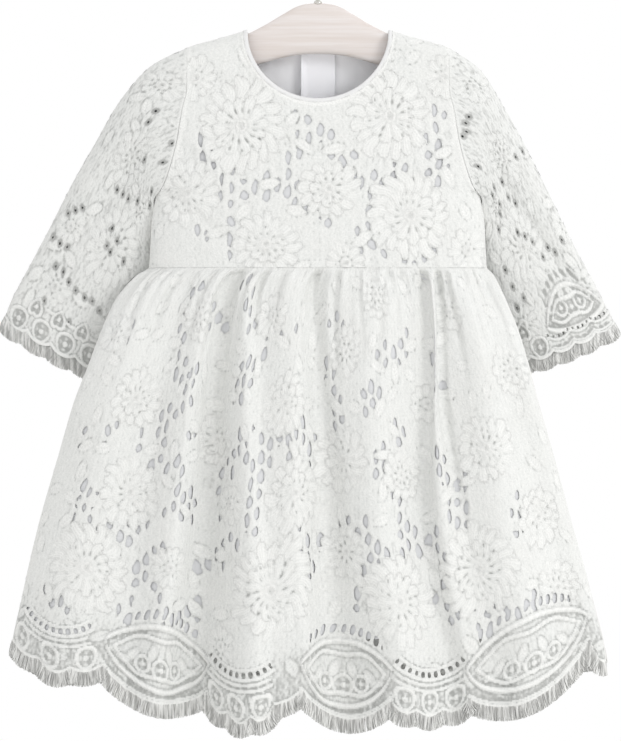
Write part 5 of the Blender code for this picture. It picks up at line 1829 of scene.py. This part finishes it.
# ---- hanger --------------------------------------------------------------------------------------


def build_hanger():
    """The curved bar, rounder than a board at its edges, with blunt tips."""
    tip = HANGER["across"][-1]
    across = tip * np.sin(np.linspace(-math.pi / 2, math.pi / 2, 240))
    top, bottom, thick = (along(HANGER, "across", c, np.abs(across)) for c in ("top", "bottom", "thick"))
    end = np.clip((tip - np.abs(across)) / 2.5, 0, 1)
    blunt = 0.12 + 0.88 * np.sqrt(1 - (1 - end) ** 2)
    zero = np.zeros_like(across)
    route = np.stack([across, zero, -(top + bottom) / 2], axis=-1)
    up = np.stack([zero, zero, (bottom - top) / 2 * blunt], axis=-1)
    deep = np.stack([zero, thick / 2 * blunt, zero], axis=-1)
    return swept("hanger_bar", route, (up, deep), rounded(1.0, 1.0, 36, 0.62), WOOD)


def build_hook():
    """The wire hook: a short shank in a collar, a bend to one side and the open loop with a rounded
    tip."""
    loop = HOOK_INSIDE + WIRE / 2
    bend = loop * math.cos(HOOK_BEND) / (1 - math.cos(HOOK_BEND))
    bend_start = HOOK_INSIDE + (loop + bend) * math.sin(HOOK_BEND)
    wood = -HANGER["top"][0]
    route = [(0.0, 0.0, wood - 6.0), (0.0, 0.0, wood + SEAM)]
    for turn in np.linspace(0, HOOK_BEND, 14)[:-1]:
        route.append((bend * (1 - math.cos(turn)), 0.0, bend * math.sin(turn) - bend_start))
    for turn in np.linspace(-HOOK_BEND, HOOK_TIP, 70):
        route.append((loop * math.cos(turn), 0.0, loop * math.sin(turn) - HOOK_INSIDE))
    radius = np.full(len(route), WIRE / 2)
    radius[-4:] *= (0.97, 0.88, 0.7, 0.35)
    hook = round_line("hook_wire", np.array(route), radius, NICKEL, 16)
    line = np.array([(0.0, 0.0, wood + up) for up in (-1.0, 0.9, 1.6)])
    return join("hanger_hook_wire", [hook, round_line("hook_collar", line, (3.1, 3.0, 2.2), NICKEL, 20)])


# ---- stage ---------------------------------------------------------------------------------------

# The camera's picture, in pixels, and where the gown is in it: the size of a pixel, the pixel of the
# gown's middle and how far down the picture's top is.
PICTURE_WIDE, PICTURE_TALL = 621, 741
PIXEL = 0.72
MIDDLE_PIXEL = 318.0
TOP_DOWN = 55.84
CAMERA_AWAY = 6000.0
SENSOR = 36.0
FLOOR_HALF = 1600.0
FLOOR_DOWN = 760.0
WORLD_FILL = 1.0
# Lights: where each one is and what it faces, in metres, how wide it is and its power.
LIGHTS = {
    "key_light": ((1.9, -1.7, 0.9), (0.0, 0.0, -0.32), 1.0, 23.0),
    "back_light": ((0.4, 2.2, 0.8), (0.0, 0.0, -0.3), 1.6, 8.0),
}


def place_camera():
    data = bpy.data.cameras.new("camera")
    data.sensor_width = SENSOR
    data.lens = SENSOR * CAMERA_AWAY / (PICTURE_TALL * PIXEL)
    data.clip_end = 60.0
    camera = put("camera", data)
    across = (PICTURE_WIDE / 2 - MIDDLE_PIXEL) * PIXEL
    down = TOP_DOWN + PICTURE_TALL / 2 * PIXEL
    camera.location = (across * MM, -CAMERA_AWAY * MM, -down * MM)
    camera.rotation_euler = (math.pi / 2, 0.0, 0.0)
    bpy.context.scene.camera = camera


def place_light(name, place, aim, size, power):
    data = bpy.data.lights.new(name, "AREA")
    data.shape = "DISK"
    data.size = size
    data.energy = power
    light = put(name, data)
    light.location = place
    light.rotation_euler = (Vector(aim) - Vector(place)).to_track_quat("-Z", "Y").to_euler()


def build_stage():
    """A pale floor far below the gown, an even white fill and two soft lights."""
    place_camera()
    signs = ((-1, -1), (1, -1), (1, 1), (-1, 1))
    corners = [(x * FLOOR_HALF, y * FLOOR_HALF, -FLOOR_DOWN) for x, y in signs]
    matt, _, _ = start_finish("pale_matt_floor", Roughness=0.9, Base_Color=linear("f4f4f2"))
    new_piece("studio_floor", corners, [(0, 1, 2, 3)], matt)
    world = bpy.data.worlds.new("studio")
    world.use_nodes = True
    tree = world.node_tree
    tree.nodes.clear()
    fill = add_node(
        tree, "ShaderNodeBackground", values={"Color": (1.0, 1.0, 1.0, 1.0), "Strength": WORLD_FILL}
    )
    out = add_node(tree, "ShaderNodeOutputWorld", links={"Surface": fill.outputs[0]})
    out.is_active_output = True
    bpy.context.scene.world = world
    bpy.context.scene.view_settings.view_transform = "Standard"
    bpy.context.scene.view_settings.look = "None"
    for name, settings in LIGHTS.items():
        place_light(name, *settings)


# ---- the gown ------------------------------------------------------------------------------------


def seat(piece, slot, *nodes):
    """The piece rides with the gown and stands for its solids; its slot is not used."""
    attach(piece, "root")
    if nodes:
        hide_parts(*nodes)


def dress_bodice(stitch):
    """Lace, linings, neck binding, placket and buttons."""
    bodice = build_bodice()
    for name, piece in bodice.items():
        seat(piece, "lace", name)
    for name, piece in build_bodice_lining().items():
        seat(piece, "lining", name)
    binding, neck_seam = build_binding(stitch)
    seat(binding, "binding", "neck_binding")
    seat(neck_seam, "binding")
    placket = build_placket()
    seat(placket, "binding", "back_placket")
    buttons = [build_button(*numbered) for numbered in enumerate(BUTTON_DOWN, 1)]
    for number, (button, passes) in enumerate(buttons, 1):
        seat(button, "button", f"back_button_{number}")
        threads = [round_line("thread", line, BUTTON_THREAD, THREAD, 6) for line in passes]
        seat(join(f"button_thread_{number}", threads), "binding")


def dress_skirt(name, folds, hem, side, cells, seed, lash_tree):
    """One panel of the skirt with its eyelashes and its lining."""
    lace, skirt = build_skirt(name, folds, hem, side, cells, seed)
    seat(lace, "lace", "skirt_" + name)
    lashes = eyelashes(f"hem_eyelashes_{name}", *hem_roots(skirt), lash_tree, EYELASH_LONG, seed)
    seat(lashes, "fringe", "hem_fringe_" + name)
    lining = build_skirt_lining(name, folds, hem, side)
    seat(lining, "lining", "skirt_lining_" + name)


def dress_sleeve(name, sections, seed, lash_tree):
    """The two halves of a sleeve with the eyelashes of their cuff."""
    halves, roots = [], []
    for part, side in (("front", -1), ("back", 1)):
        node = f"sleeve_{name}_{part}"
        lace, rooted = build_sleeve_half(node, sections, side, seed + side)
        seat(lace, "lace", node)
        halves.append(lace)
        roots.append(rooted)
    places, hang = (np.concatenate(both) for both in zip(*roots))
    lashes = eyelashes(f"cuff_eyelashes_{name}", places, hang, lash_tree, CUFF_EYELASH_LONG, seed)
    seat(lashes, "fringe", "cuff_fringe_" + name)


def main():
    build_stage()
    lash_tree, stitch = eyelash_tree(), stitch_tree()
    seat(build_hanger(), "wood", "hanger_body")
    seat(build_hook(), "steel", "hanger_hook")
    dress_bodice(stitch)
    dress_skirt("front", FRONT_FOLDS, FRONT_HEM, -1, SKIRT_CELLS, 2, lash_tree)
    dress_skirt("back", BACK_FOLDS, BACK_HEM, 1, SKIRT_BACK_CELLS, 7, lash_tree)
    dress_sleeve("left", SLEEVE_LEFT, 3, lash_tree)
    dress_sleeve("right", SLEEVE_RIGHT, 8, lash_tree)


main()
